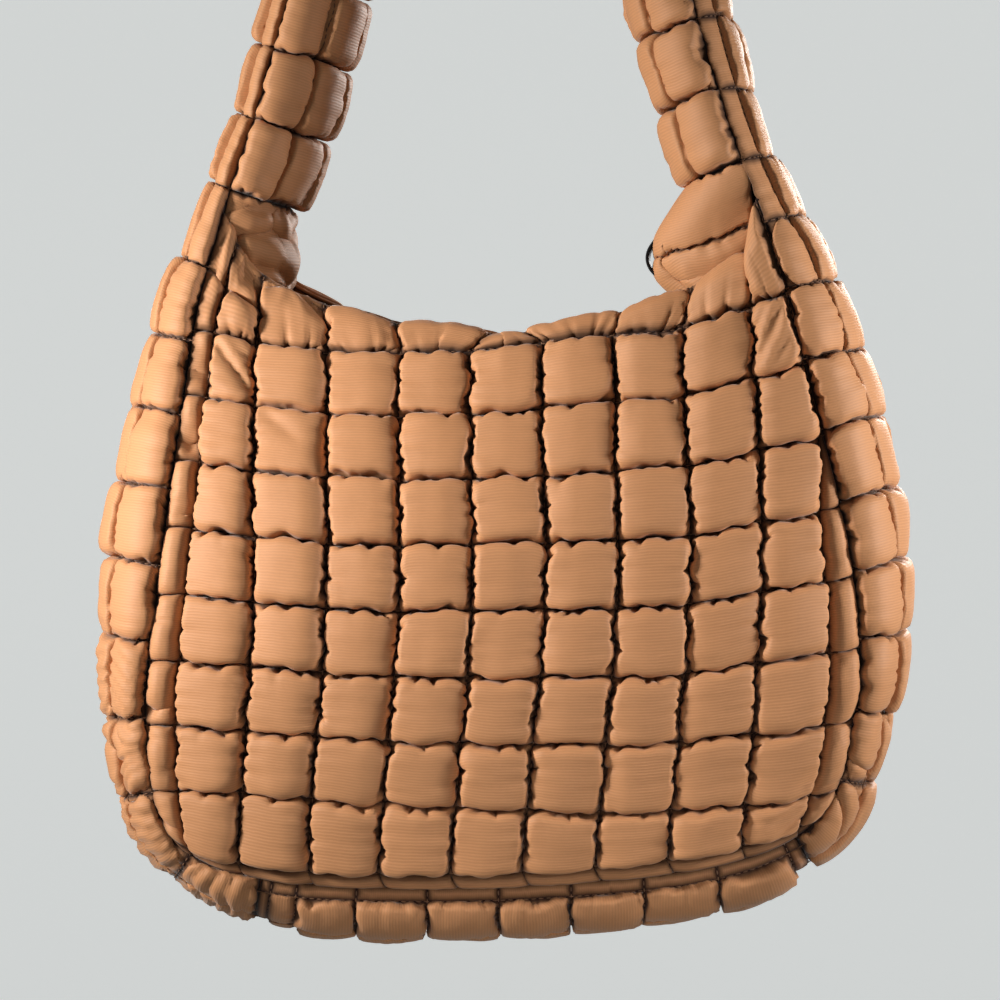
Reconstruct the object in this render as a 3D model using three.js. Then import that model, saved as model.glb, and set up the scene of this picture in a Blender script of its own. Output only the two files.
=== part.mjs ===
// Quilted puffer shoulder tote, hanging by its strap. Millimetres, +Z up, the front faces -Y.
// The origin is under the crown of the strap, where a hook or a shoulder carries the bag.
import * as THREE from 'three';

// Quilted cloth: cells between stitch lines, thick in the middle and thin along the stitches.
const CELL_WIDTH = 43.5;
const STITCH_THICKNESS = 4;
const PUFF = 10;
const FULL_CELL = 36;
const CROWN_START = 0.24;
const HALF_GAP = 0.2;

// The seam where a panel meets the strip, as half of a loop from the middle of the bottom to the crown.
// half_depth is how far the seam lies in front of the middle plane; bulge is how far the strip swells out.
const SEAM = [
  { place: 'bottom_middle', half_width: 0, height: -633, half_depth: 61, bulge: 35 },
  { place: 'bottom_quarter', half_width: 103, height: -629, half_depth: 61, bulge: 35 },
  { place: 'bottom_end', half_width: 148, height: -622, half_depth: 61, bulge: 32 },
  { place: 'corner_low', half_width: 177, height: -612, half_depth: 61, bulge: 27 },
  { place: 'corner', half_width: 196, height: -598, half_depth: 61, bulge: 25 },
  { place: 'corner_high', half_width: 206, height: -580, half_depth: 61, bulge: 24 },
  { place: 'low_side', half_width: 212, height: -553, half_depth: 62, bulge: 24 },
  { place: 'widest', half_width: 216, height: -512, half_depth: 63, bulge: 26 },
  { place: 'mid_side', half_width: 208, height: -436, half_depth: 62, bulge: 31 },
  { place: 'high_side', half_width: 192, height: -343, half_depth: 57, bulge: 33 },
  { place: 'shoulder', half_width: 180, height: -273, half_depth: 50, bulge: 25 },
  { place: 'panel_tip', half_width: 166, height: -222, half_depth: 44, bulge: 15 },
  { place: 'strap_foot', half_width: 145, height: -160, half_depth: 39, bulge: 12 },
  { place: 'strap_leg', half_width: 124, height: -89, half_depth: 38, bulge: 13 },
  { place: 'arch_start', half_width: 109, height: -41, half_depth: 38, bulge: 13 },
  { place: 'arch_side', half_width: 87, height: 1.5, half_depth: 38, bulge: 13 },
  { place: 'arch_high', half_width: 48, height: 33, half_depth: 38, bulge: 13 },
  { place: 'crown', half_width: 0, height: 44, half_depth: 38, bulge: 13 },
];

// Panel grid: columns counted in cells from the middle, rows from the bottom seam up to the rim.
const STRAIGHT_COLUMNS = 3.5;
const EDGE_COLUMN = 4.93;
const COLUMN_LINES = [-EDGE_COLUMN, -4.5, -3.5, -2.5, -1.5, -0.5, 0.5, 1.5, 2.5, 3.5, 4.5, EDGE_COLUMN];
const ROW_LINES = [0, 1, 2, 3, 4, 5, 6, 7, 8, 9, 10];
const SECOND_ROW = 2;
const HEM_ROW = 9;
const RIM_ROW = 10;
const SLIM_ROW = 9;

// Heights of the panel's stitch lines by column: the second row above the bottom, the hem, and the rim,
// which dips in the middle and climbs to the feet of the strap.
const RIM = [
  { column: -EDGE_COLUMN, second_height: -568, hem_height: -290, rim_half_width: 166, rim_height: -222 },
  { column: -4.5, second_height: -568, hem_height: -292, rim_half_width: 162, rim_height: -240 },
  { column: -3.5, second_height: -570, hem_height: -301, rim_half_width: 150, rim_height: -260 },
  { column: -2.5, second_height: -574, hem_height: -307, rim_half_width: 114, rim_height: -279 },
  { column: -1.5, second_height: -578, hem_height: -309, rim_half_width: 69, rim_height: -293 },
  { column: 0, second_height: -583, hem_height: -307, rim_half_width: 0, rim_height: -301 },
  { column: 1.5, second_height: -587, hem_height: -302, rim_half_width: 69, rim_height: -291 },
  { column: 2.5, second_height: -588, hem_height: -299, rim_half_width: 113, rim_height: -277 },
  { column: 3.5, second_height: -587, hem_height: -288, rim_half_width: 149, rim_height: -257 },
  { column: 4.5, second_height: -584, hem_height: -282, rim_half_width: 161, rim_height: -238 },
  { column: EDGE_COLUMN, second_height: -581, hem_height: -280, rim_half_width: 166, rim_height: -222 },
];

// How far the middle of a panel stands in front of the middle plane, by row.
const BELLY = [
  { row: 0, half_depth: 61 },
  { row: 1, half_depth: 68 },
  { row: 3, half_depth: 80 },
  { row: 5, half_depth: 80 },
  { row: 7, half_depth: 68 },
  { row: HEM_ROW, half_depth: 42 },
  { row: RIM_ROW, half_depth: 35 },
];
const BELLY_POWER = 2.6;

// Strip, gusset and strap.
const GUSSET_LINES = [-142, -120, -84, -41, 2, 46, 90, 134, 182];
const STRIP_CELL = 45;
const STRIP_ACROSS = [-1, -0.5, 0, 0.5, 1];
const GUSSET_ACROSS = [-1, -0.83, -0.28, 0.28, 0.83, 1];
const LINING_FOOT_RIGHT = -195;
const LINING_FOOT_LEFT = -207;
const LINING_BULGE_RIGHT = 33;
const LINING_BULGE_LEFT = 27;

// Plain facing at a foot of the strap, from the end of the lining down behind the rim.
const FACING = [
  { down: 0, right_bulge: LINING_BULGE_RIGHT, left_bulge: LINING_BULGE_LEFT, seam_inset: 0.2, side_inset: 0 },
  { down: 15, right_bulge: 50, left_bulge: 30, seam_inset: 3, side_inset: 7 },
  { down: 32, right_bulge: 63, left_bulge: 34, seam_inset: 6, side_inset: 13 },
  { down: 54, right_bulge: 66, left_bulge: 33, seam_inset: 6, side_inset: 16 },
  { down: 80, right_bulge: 46, left_bulge: 23, seam_inset: 6, side_inset: 19 },
  { down: 104, right_bulge: 12, left_bulge: 9, seam_inset: 6, side_inset: 21 },
];
const FACING_PUFF = 2;

// Ribbon loop on the right facing.
const LOOP_DOWN = 28;
const LOOP_LENGTH = 24;
const LOOP_STAND = 5;
const LOOP_THICKNESS = 1.8;
const LOOP_WIDTH = 14;
const LOOP_STEPS = 10;
const LOOP_SEAT = 1.3;

// How the bag hangs: the body rises to one side, its foot swings, its panels lean, the strap turns and sways.
const RISE = 0.033;
const PANEL_LEAN = 0.045;
const SWING = -6;
const SWING_FROM = -640;
const SWING_TO = -450;
const LEAN_PIVOT = -505;
const LEAN_POWER = 4;
const STRAP_SWAY = -4;
const STRAP_TURN = THREE.MathUtils.degToRad(11);
const RISE_TO = -260;
const TURN_FROM = -470;
const TURN_TO = -190;

const TAN = { color: 0xc0905f, roughness: 0.55, metalness: 0 };
const BLACK = { color: 0x17171a, roughness: 0.7, metalness: 0 };

// A smooth curve through the values of a table column.
function smoothTable(knots, values) {
  const last = knots.length - 1;
  const slope = knots.map((_, i) => {
    const a = Math.max(i - 1, 0);
    const b = Math.min(i + 1, last);
    return (values[b] - values[a]) / (knots[b] - knots[a]);
  });
  return (k) => {
    let i = 0;
    while (i < last - 1 && k > knots[i + 1]) i += 1;
    const span = knots[i + 1] - knots[i];
    const t = THREE.MathUtils.clamp((k - knots[i]) / span, 0, 1);
    const rise = values[i + 1] - values[i];
    const a = slope[i] * span - rise;
    const b = rise - slope[i + 1] * span;
    return values[i] + t * rise + t * (1 - t) * ((1 - t) * a + t * b);
  };
}

function tableColumn(table, key, name) {
  return smoothTable(table.map((row) => row[key]), table.map((row) => row[name]));
}

// Smallest argument in a range where a rising function reaches a value.
function solve(f, value, low, high) {
  let a = low;
  let b = high;
  for (let i = 0; i < 48; i += 1) {
    const middle = (a + b) / 2;
    if (f(middle) < value) a = middle;
    else b = middle;
  }
  return (a + b) / 2;
}

// Seam loop. Its length runs from the middle of the bottom; the left half has negative lengths.
const seamLengths = [0];
for (let i = 1; i < SEAM.length; i += 1) {
  const across = SEAM[i].half_width - SEAM[i - 1].half_width;
  const up = SEAM[i].height - SEAM[i - 1].height;
  seamLengths.push(seamLengths[i - 1] + Math.hypot(across, up));
}
const CROWN = seamLengths[SEAM.length - 1];

function seamColumn(name, mirror) {
  const values = SEAM.map((row) => row[name]);
  const before = mirror * values[1];
  const after = mirror * values[values.length - 2];
  const knots = [-seamLengths[1], ...seamLengths, 2 * CROWN - seamLengths[SEAM.length - 2]];
  return smoothTable(knots, [before, ...values, after]);
}

const halfWidthAt = seamColumn('half_width', -1);
const heightAt = seamColumn('height', 1);
const halfDepthAt = seamColumn('half_depth', 1);
const bulgeAt = seamColumn('bulge', 1);

function seamLengthOf(place) {
  return seamLengths[SEAM.findIndex((row) => row.place === place)];
}

function seamPoint(length) {
  const wrapped = THREE.MathUtils.euclideanModulo(length + CROWN, 2 * CROWN) - CROWN;
  const side = Math.sign(wrapped) || 1;
  const k = Math.abs(wrapped);
  return { x: side * halfWidthAt(k), z: heightAt(k), depth: halfDepthAt(k), bulge: bulgeAt(k) };
}

// The seam with its outward direction in the XZ plane, and the sag of a chord between two samples.
function seamFrame(length, step) {
  const here = seamPoint(length);
  const h = 0.5;
  const direction = (from) => {
    const a = seamPoint(from - h);
    const b = seamPoint(from + h);
    return new THREE.Vector2(b.x - a.x, b.z - a.z).normalize();
  };
  const along = direction(length);
  const turn = direction(length - 8).angleTo(direction(length + 8));
  const sag = ((turn / 16) * step * step) / 4.4;
  return { ...here, out: new THREE.Vector3(along.y, 0, -along.x), sag };
}

// A point of the quilted strip, across from -1 at the front seam to 1 at the back seam.
function stripPoint(across, length, lift) {
  const seam = seamFrame(length, lift < 0 ? STRIP_CELL : STRIP_CELL / 2);
  const angle = (across * Math.PI) / 2;
  const stand = seam.bulge * Math.cos(angle) + HALF_GAP + seam.sag * Math.sin(angle) ** 2;
  const normal = seam.out.clone().multiplyScalar(seam.depth * Math.cos(angle));
  normal.y = seam.bulge * Math.sin(angle);
  normal.normalize();
  return new THREE.Vector3(seam.x, seam.depth * Math.sin(angle), seam.z)
    .addScaledVector(seam.out, stand)
    .addScaledVector(normal, lift);
}

// A point of a layer that swells into the loop: the strap's lining or a facing.
function innerPoint(across, length, lift, bulge, seamInset, sideInset) {
  const seam = seamFrame(length, 0);
  const angle = (across * Math.PI) / 2;
  const depth = seam.depth - sideInset;
  const normal = seam.out.clone().multiplyScalar(-depth * Math.cos(angle));
  normal.y = bulge * Math.sin(angle);
  normal.normalize();
  return new THREE.Vector3(seam.x, depth * Math.sin(angle), seam.z)
    .addScaledVector(seam.out, -bulge * Math.cos(angle) - seamInset)
    .addScaledVector(normal, lift);
}

// Panel grid worked out from the seam and the rim.
const widestLength = seamLengthOf('widest');
const bottomHeight = (x) => heightAt(solve(halfWidthAt, x, 0, widestLength)) + HALF_GAP;
const sideLength = (z) => solve(heightAt, z, seamLengthOf('bottom_end'), seamLengthOf('strap_leg'));
const secondHeight = tableColumn(RIM, 'column', 'second_height');
const hemHeight = tableColumn(RIM, 'column', 'hem_height');
const rimHalfWidth = tableColumn(RIM, 'column', 'rim_half_width');
const rimHeight = tableColumn(RIM, 'column', 'rim_height');
const belly = tableColumn(BELLY, 'row', 'half_depth');
const cornerHeight = SEAM.find((row) => row.place === 'corner').height;

function rowHeight(column, row, bottom) {
  const first = bottom + SLIM_ROW * (1 - 0.7 * (column / EDGE_COLUMN) ** 4);
  const second = secondHeight(column);
  const hem = hemHeight(column);
  if (row <= 1) return THREE.MathUtils.lerp(bottom, first, row);
  if (row <= SECOND_ROW) return THREE.MathUtils.lerp(first, second, row - 1);
  if (row <= HEM_ROW) return THREE.MathUtils.lerp(second, hem, (row - SECOND_ROW) / (HEM_ROW - SECOND_ROW));
  return THREE.MathUtils.lerp(hem, rimHeight(column), row - HEM_ROW);
}

function columnX(column, edge) {
  const straight = Math.min(column, STRAIGHT_COLUMNS) * CELL_WIDTH;
  const beyond = Math.max(column - STRAIGHT_COLUMNS, 0) / (EDGE_COLUMN - STRAIGHT_COLUMNS);
  return straight + beyond * (edge - STRAIGHT_COLUMNS * CELL_WIDTH);
}

function panelBase(signedColumn, row) {
  const column = Math.abs(signedColumn);
  const side = signedColumn < 0 ? -1 : 1;
  const cornerX = halfWidthAt(sideLength(cornerHeight)) - HALF_GAP;
  const edgeLength = sideLength(rowHeight(side * EDGE_COLUMN, row, cornerHeight));
  const mainRow = Math.min(row, HEM_ROW);
  const mainLength = sideLength(rowHeight(side * EDGE_COLUMN, mainRow, cornerHeight));
  const mainX = columnX(column, halfWidthAt(mainLength) - HALF_GAP);
  const rimX = rimHalfWidth(signedColumn) - HALF_GAP * (column / EDGE_COLUMN);
  const x = THREE.MathUtils.lerp(mainX, rimX, Math.max(row - HEM_ROW, 0));
  const z = rowHeight(signedColumn, row, bottomHeight(columnX(column, cornerX)));
  const middle = 1 - (column / EDGE_COLUMN) ** BELLY_POWER;
  const depth = THREE.MathUtils.lerp(halfDepthAt(edgeLength), belly(row), middle);
  const lean = PANEL_LEAN * (z - LEAN_PIVOT) * (1 - (column / EDGE_COLUMN) ** LEAN_POWER) * Math.min(row, 1);
  return new THREE.Vector3(side * x + lean, -depth, z);
}

function panelPoint(column, row, lift) {
  const h = 0.02;
  const clampColumn = (c) => THREE.MathUtils.clamp(c, -EDGE_COLUMN, EDGE_COLUMN);
  const clampRow = (r) => THREE.MathUtils.clamp(r, 0, RIM_ROW);
  const across = panelBase(clampColumn(column + h), row).sub(panelBase(clampColumn(column - h), row));
  const up = panelBase(column, clampRow(row + h)).sub(panelBase(column, clampRow(row - h)));
  const normal = lift < 0 ? new THREE.Vector3(0, -1, 0) : across.cross(up).normalize();
  return panelBase(column, row).addScaledVector(normal, lift);
}

// The body rises to one side, its foot swings, and the strap turns about the vertical and sways.
function hang(point) {
  const up = THREE.MathUtils.smoothstep(point.z, TURN_FROM, TURN_TO);
  const body = 1 - THREE.MathUtils.smoothstep(point.z, RISE_TO, TURN_TO);
  const c = Math.cos(STRAP_TURN * up);
  const s = Math.sin(STRAP_TURN * up);
  const x = point.x + SWING * (1 - THREE.MathUtils.smoothstep(point.z, SWING_FROM, SWING_TO));
  const z = point.z + RISE * point.x * body;
  return new THREE.Vector3(c * x + s * point.y + STRAP_SWAY * up, -s * x + c * point.y, z);
}

// A closed solid of quilted cloth over a grid of cells: a crowned outer face and a plain inner face.
function quilted(columns, rows, point, crown) {
  const stops = [0, CROWN_START, 1 - CROWN_START];
  const sample = (lines, i) => {
    const cell = Math.min(Math.floor(i / 3), lines.length - 2);
    const part = i - 3 * cell === 3 ? 1 : stops[i - 3 * cell];
    const at = THREE.MathUtils.lerp(lines[cell], lines[cell + 1], part);
    return { cell, inside: part > 0 && part < 1, at };
  };
  const wide = 3 * (columns.length - 1) + 1;
  const high = 3 * (rows.length - 1) + 1;
  const positions = [];
  const faces = [];
  for (let j = 0; j < high; j += 1) {
    const v = sample(rows, j);
    for (let i = 0; i < wide; i += 1) {
      const u = sample(columns, i);
      positions.push(hang(point(u.at, v.at, crown(u, v))));
    }
  }
  const innerStart = positions.length;
  for (const v of rows) {
    for (const u of columns) positions.push(hang(point(u, v, -STITCH_THICKNESS)));
  }
  const outer = (i, j) => j * wide + i;
  const inner = (i, j) => innerStart + j * columns.length + i;
  const quad = (a, b, c, d) => faces.push(a, b, c, a, c, d);
  for (let j = 0; j < high - 1; j += 1) {
    for (let i = 0; i < wide - 1; i += 1) {
      const a = outer(i, j);
      const b = outer(i + 1, j);
      const c = outer(i + 1, j + 1);
      const d = outer(i, j + 1);
      const cornerFalls = (i % 3 === 0) !== (j % 3 === 0) && i % 3 !== 1 && j % 3 !== 1;
      if (cornerFalls) quad(b, c, d, a);
      else quad(a, b, c, d);
    }
  }
  for (let j = 0; j < rows.length - 1; j += 1) {
    for (let i = 0; i < columns.length - 1; i += 1) {
      quad(inner(i, j), inner(i, j + 1), inner(i + 1, j + 1), inner(i + 1, j));
    }
  }
  // An edge of one cell: four outer samples joined to two inner ones.
  const edge = (a, b) => {
    faces.push(a[1], a[0], b[0], b[1], a[1], b[0], a[2], a[1], b[1], a[3], a[2], b[1]);
  };
  for (let i = 0; i < columns.length - 1; i += 1) {
    const run = [0, 1, 2, 3].map((k) => 3 * i + k);
    edge(run.map((k) => outer(k, 0)), [inner(i, 0), inner(i + 1, 0)]);
    const back = [...run].reverse();
    const top = rows.length - 1;
    edge(back.map((k) => outer(k, high - 1)), [inner(i + 1, top), inner(i, top)]);
  }
  for (let j = 0; j < rows.length - 1; j += 1) {
    const run = [0, 1, 2, 3].map((k) => 3 * j + k);
    const right = columns.length - 1;
    edge(run.map((k) => outer(wide - 1, k)), [inner(right, j), inner(right, j + 1)]);
    const back = [...run].reverse();
    edge(back.map((k) => outer(0, k)), [inner(0, j + 1), inner(0, j)]);
  }
  return closedGeometry(positions, faces);
}

// Faces turned outwards, whichever way the grid ran.
function closedGeometry(positions, faces) {
  let volume = 0;
  for (let i = 0; i < faces.length; i += 3) {
    const [a, b, c] = [positions[faces[i]], positions[faces[i + 1]], positions[faces[i + 2]]];
    volume += a.dot(b.clone().cross(c));
  }
  if (volume < 0) faces.reverse();
  const geometry = new THREE.BufferGeometry().setFromPoints(positions);
  geometry.setIndex(faces);
  geometry.computeVertexNormals();
  return geometry;
}

// Height of a cell's crown, less in the slim cells along an edge.
function crownOf(width, height) {
  return PUFF * Math.min(1, width / FULL_CELL, height / FULL_CELL);
}

function panelCrown(u, v) {
  if (!u.inside || !v.inside) return 0;
  const a = panelBase(COLUMN_LINES[u.cell], v.at);
  const b = panelBase(COLUMN_LINES[u.cell + 1], v.at);
  const c = panelBase(u.at, ROW_LINES[v.cell]);
  const d = panelBase(u.at, ROW_LINES[v.cell + 1]);
  return crownOf(a.distanceTo(b), c.distanceTo(d));
}

function evenLines(from, to, count) {
  return Array.from({ length: count + 1 }, (_, i) => THREE.MathUtils.lerp(from, to, i / count));
}

const bag = new THREE.Group();

function addPiece(name, geometry, look) {
  const mesh = new THREE.Mesh(geometry, new THREE.MeshStandardMaterial(look));
  mesh.name = name;
  bag.add(mesh);
}

// Panels
addPiece('front_panel', quilted(COLUMN_LINES, ROW_LINES, panelPoint, panelCrown), TAN);
const backPoint = (column, row, lift) => panelPoint(column, row, lift).multiply(new THREE.Vector3(1, -1, 1));
addPiece('back_panel', quilted(COLUMN_LINES, ROW_LINES, backPoint, panelCrown), TAN);

// Bottom gusset, between the joins at the lower corners
const gussetLength = (x) => Math.sign(x) * solve(halfWidthAt, Math.abs(x), 0, widestLength);
const gussetRows = GUSSET_LINES.map(gussetLength);
const [leftJoin, rightJoin] = [gussetRows[0], gussetRows[gussetRows.length - 1]];
gussetRows[0] += HALF_GAP;
gussetRows[gussetRows.length - 1] -= HALF_GAP;
const gussetDepth = SEAM[0].half_depth;
const gussetWidth = (cell) => gussetDepth * (GUSSET_ACROSS[cell + 1] - GUSSET_ACROSS[cell]);
const gussetHeight = (cell) => gussetRows[cell + 1] - gussetRows[cell];
const gussetCrown = (u, v) => (u.inside && v.inside ? crownOf(gussetWidth(u.cell), gussetHeight(v.cell)) : 0);
addPiece('bottom_gusset', quilted(GUSSET_ACROSS, gussetRows, stripPoint, gussetCrown), TAN);

// Strip up the sides and over the shoulder, in even cells between the joins and the feet of the lining
const rightFoot = sideLength(LINING_FOOT_RIGHT);
const leftFoot = 2 * CROWN - sideLength(LINING_FOOT_LEFT);
const cellsBetween = (from, to) => evenLines(from, to, Math.round((to - from) / STRIP_CELL));
const liningRows = cellsBetween(rightFoot, leftFoot);
const rightRows = cellsBetween(rightJoin + HALF_GAP, rightFoot);
const leftRows = cellsBetween(leftFoot, 2 * CROWN + leftJoin - HALF_GAP);
const stripRows = [...rightRows, ...liningRows.slice(1), ...leftRows.slice(1)];
const stripCrown = (u, v) => (u.inside && v.inside ? PUFF : 0);
addPiece('strap_strip', quilted(STRIP_ACROSS, stripRows, stripPoint, stripCrown), TAN);

// Inside of the strap, on the same cross seams as the strip
const liningBulge = smoothTable([rightFoot, leftFoot], [LINING_BULGE_RIGHT, LINING_BULGE_LEFT]);
function liningPoint(across, length, lift) {
  return innerPoint(across, length, lift, liningBulge(length), HALF_GAP, 0);
}
addPiece('strap_lining', quilted(STRIP_ACROSS, liningRows, liningPoint, stripCrown), TAN);

// Plain facings at the feet of the strap
const facingSeamInset = tableColumn(FACING, 'down', 'seam_inset');
const facingSideInset = tableColumn(FACING, 'down', 'side_inset');
const facingRows = FACING.map((row) => row.down);
const facingCrown = (u, v) => (v.inside ? FACING_PUFF : 0);

function facingPoint(footLength, direction, bulgeName) {
  const bulge = tableColumn(FACING, 'down', bulgeName);
  const start = footLength + 2 * HALF_GAP * direction;
  return (across, down, lift) => {
    const length = start + direction * down;
    return innerPoint(across, length, lift, bulge(down), facingSeamInset(down), facingSideInset(down));
  };
}
const rightFacingPoint = facingPoint(rightFoot, -1, 'right_bulge');
const leftFacingPoint = facingPoint(leftFoot, 1, 'left_bulge');
addPiece('right_facing', quilted(STRIP_ACROSS, facingRows, rightFacingPoint, facingCrown), TAN);
addPiece('left_facing', quilted(STRIP_ACROSS, facingRows, leftFacingPoint, facingCrown), TAN);

// Ribbon loop: a bowed strip of ribbon standing off the innermost line of the right facing
function loopGeometry() {
  const positions = [];
  const faces = [];
  for (let i = 0; i <= LOOP_STEPS; i += 1) {
    const t = i / LOOP_STEPS;
    const stand = LOOP_SEAT + FACING_PUFF / 2 + LOOP_STAND * Math.sin(Math.PI * t);
    for (const [side, level] of [[-1, 0], [1, 0], [1, 1], [-1, 1]]) {
      const down = LOOP_DOWN + LOOP_LENGTH * t;
      const point = rightFacingPoint(0, down, stand + level * LOOP_THICKNESS);
      point.y = (side * LOOP_WIDTH) / 2;
      positions.push(hang(point));
    }
  }
  const quad = (a, b, c, d) => faces.push(a, b, c, a, c, d);
  for (let i = 0; i < LOOP_STEPS; i += 1) {
    for (let k = 0; k < 4; k += 1) {
      quad(4 * i + k, 4 * i + ((k + 1) % 4), 4 * i + 4 + ((k + 1) % 4), 4 * i + 4 + k);
    }
  }
  const end = 4 * LOOP_STEPS;
  quad(3, 2, 1, 0);
  quad(end, end + 1, end + 2, end + 3);
  return closedGeometry(positions, faces);
}
addPiece('inner_loop', loopGeometry(), BLACK);

export default bag;
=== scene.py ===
import math

import bpy
import mathutils
import numpy as np
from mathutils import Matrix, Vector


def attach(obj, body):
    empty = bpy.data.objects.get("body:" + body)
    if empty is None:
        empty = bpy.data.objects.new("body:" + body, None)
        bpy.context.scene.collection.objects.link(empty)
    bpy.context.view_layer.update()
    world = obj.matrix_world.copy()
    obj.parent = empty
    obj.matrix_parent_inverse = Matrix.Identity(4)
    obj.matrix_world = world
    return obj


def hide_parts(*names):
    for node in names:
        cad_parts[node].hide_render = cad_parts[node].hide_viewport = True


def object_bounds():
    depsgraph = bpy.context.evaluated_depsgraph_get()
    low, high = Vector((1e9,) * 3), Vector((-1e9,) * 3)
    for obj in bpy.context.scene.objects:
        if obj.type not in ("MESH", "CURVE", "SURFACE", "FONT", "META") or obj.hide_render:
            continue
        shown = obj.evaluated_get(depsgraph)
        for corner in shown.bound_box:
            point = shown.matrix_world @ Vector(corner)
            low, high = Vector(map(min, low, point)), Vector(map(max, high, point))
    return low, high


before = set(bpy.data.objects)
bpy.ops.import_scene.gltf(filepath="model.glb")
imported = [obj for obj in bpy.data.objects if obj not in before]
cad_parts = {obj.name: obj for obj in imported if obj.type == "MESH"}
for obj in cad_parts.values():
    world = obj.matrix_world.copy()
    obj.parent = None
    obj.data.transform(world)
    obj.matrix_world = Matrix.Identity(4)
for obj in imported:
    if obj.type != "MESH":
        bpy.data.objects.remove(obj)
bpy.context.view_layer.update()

# Front panel
# A padded sheet of camel nylon over wadding, quilted in square cells and turned over along the dipping rim.
# It is cut larger than it finishes, so the stitching gathers it: each cell puffs and its edges pucker.
# Sizes are millimetres, and a mesh is made in metres.

MM = 0.001
CELL_WIDTH = 43.5
STITCH_THICKNESS = 4
PUFF = 14
FULL_CELL = 27
HALF_GAP = 0.2

SEAM_COLUMNS = ("place", "half_width", "height", "half_depth", "bulge")
SEAM = [
    ("bottom_middle", 0, -633, 61, 35),
    ("bottom_quarter", 103, -629, 61, 35),
    ("bottom_end", 148, -622, 61, 32),
    ("corner_low", 177, -612, 61, 27),
    ("corner", 196, -598, 61, 25),
    ("corner_high", 206, -580, 61, 24),
    ("low_side", 212, -553, 62, 24),
    ("widest", 216, -512, 63, 26),
    ("mid_side", 208, -436, 62, 31),
    ("high_side", 192, -343, 57, 33),
    ("shoulder", 180, -273, 50, 25),
    ("panel_tip", 166, -222, 44, 15),
    ("strap_foot", 145, -160, 39, 12),
    ("strap_leg", 124, -89, 38, 13),
    ("arch_start", 109, -41, 38, 13),
    ("arch_side", 87, 1.5, 38, 13),
    ("arch_high", 48, 33, 38, 13),
    ("crown", 0, 44, 38, 13),
]

STRAIGHT_COLUMNS = 3.5
LAST_LINE = 4.5
EDGE_COLUMN = 4.93
COLUMN_LINES = [-EDGE_COLUMN, -4.5, -3.5, -2.5, -1.5, -0.5, 0.5, 1.5, 2.5, 3.5, 4.5, EDGE_COLUMN]
SECOND_ROW = 2
HEM_ROW = 9
RIM_ROW = 10
ROLL_END = 10.45
ROW_LINES = [0, 1, 2, 3, 4, 5, 6, 7, 8, HEM_ROW, ROLL_END]
SLIM_ROW = 9
SLIM_ROW_TAPER = 0.7
RUN_OUT_FROM = 5.6
RUN_OUT_TO = 7.4
RUN_OUT_LEFT = 0.04
ROLL_RADIUS = 3.2
ROLL_RADIUS_AT_TIP = 2.0

RIM_COLUMNS = ("column", "second_height", "hem_height", "rim_half_width", "rim_height")
RIM = [
    (-EDGE_COLUMN, -568, -290, 166, -222),
    (-4.5, -568, -292, 162, -240),
    (-3.5, -570, -301, 150, -260),
    (-2.5, -574, -307, 114, -279),
    (-1.5, -578, -309, 69, -293),
    (0, -583, -307, 0, -301),
    (1.5, -587, -302, 69, -291),
    (2.5, -588, -299, 113, -277),
    (3.5, -587, -288, 149, -257),
    (4.5, -584, -282, 161, -238),
    (EDGE_COLUMN, -581, -280, 166, -222),
]

BELLY_COLUMNS = ("row", "half_depth")
BELLY = [(0, 61), (1, 68), (3, 80), (5, 80), (7, 68), (HEM_ROW, 42), (RIM_ROW, 35)]
BELLY_POWER = 2.6

RISE = 0.033
RISE_TO = -260
PANEL_LEAN = 0.045
LEAN_PIVOT = -505
LEAN_POWER = 4
SWING = -6
SWING_FROM = -640
SWING_TO = -450
STRAP_SWAY = -4
STRAP_TURN = math.radians(11)
TURN_FROM = -470
TURN_TO = -190


def column_of(names, table, name):
    return np.array([row[names.index(name)] for row in table], float)


def smooth_curve(knots, values):
    """A smooth curve through the values of a table column."""
    knots = np.asarray(knots, float)
    values = np.asarray(values, float)
    before = np.maximum(np.arange(len(knots)) - 1, 0)
    after = np.minimum(np.arange(len(knots)) + 1, len(knots) - 1)
    slope = (values[after] - values[before]) / (knots[after] - knots[before])

    def at(k):
        i = np.clip(np.searchsorted(knots, k) - 1, 0, len(knots) - 2)
        span = knots[i + 1] - knots[i]
        t = np.clip((k - knots[i]) / span, 0, 1)
        rise = values[i + 1] - values[i]
        a = slope[i] * span - rise
        b = rise - slope[i + 1] * span
        return values[i] + t * rise + t * (1 - t) * ((1 - t) * a + t * b)

    return at


def solve(curve, value, low, high):
    """Where a rising curve reaches a value."""
    a = np.full(np.shape(value), float(low))
    b = np.full(np.shape(value), float(high))
    for _ in range(40):
        middle = (a + b) / 2
        short = curve(middle) < value
        a = np.where(short, middle, a)
        b = np.where(short, b, middle)
    return (a + b) / 2


def smooth_step(x, low, high):
    t = np.clip((x - low) / (high - low), 0, 1)
    return t * t * (3 - 2 * t)


def unit(vectors):
    return vectors / np.maximum(np.linalg.norm(vectors, axis=-1, keepdims=True), 1e-9)


seam_steps = np.hypot(
    np.diff(column_of(SEAM_COLUMNS, SEAM, "half_width")), np.diff(column_of(SEAM_COLUMNS, SEAM, "height"))
)
seam_lengths = np.concatenate([[0], np.cumsum(seam_steps)])
CROWN = seam_lengths[-1]


def seam_curve(name, mirror):
    """A column of the seam table as a curve along the seam, from the middle of the bottom to the crown."""
    values = column_of(SEAM_COLUMNS, SEAM, name)
    knots = np.concatenate([[-seam_lengths[1]], seam_lengths, [2 * CROWN - seam_lengths[-2]]])
    return smooth_curve(knots, np.concatenate([[mirror * values[1]], values, [mirror * values[-2]]]))


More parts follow.
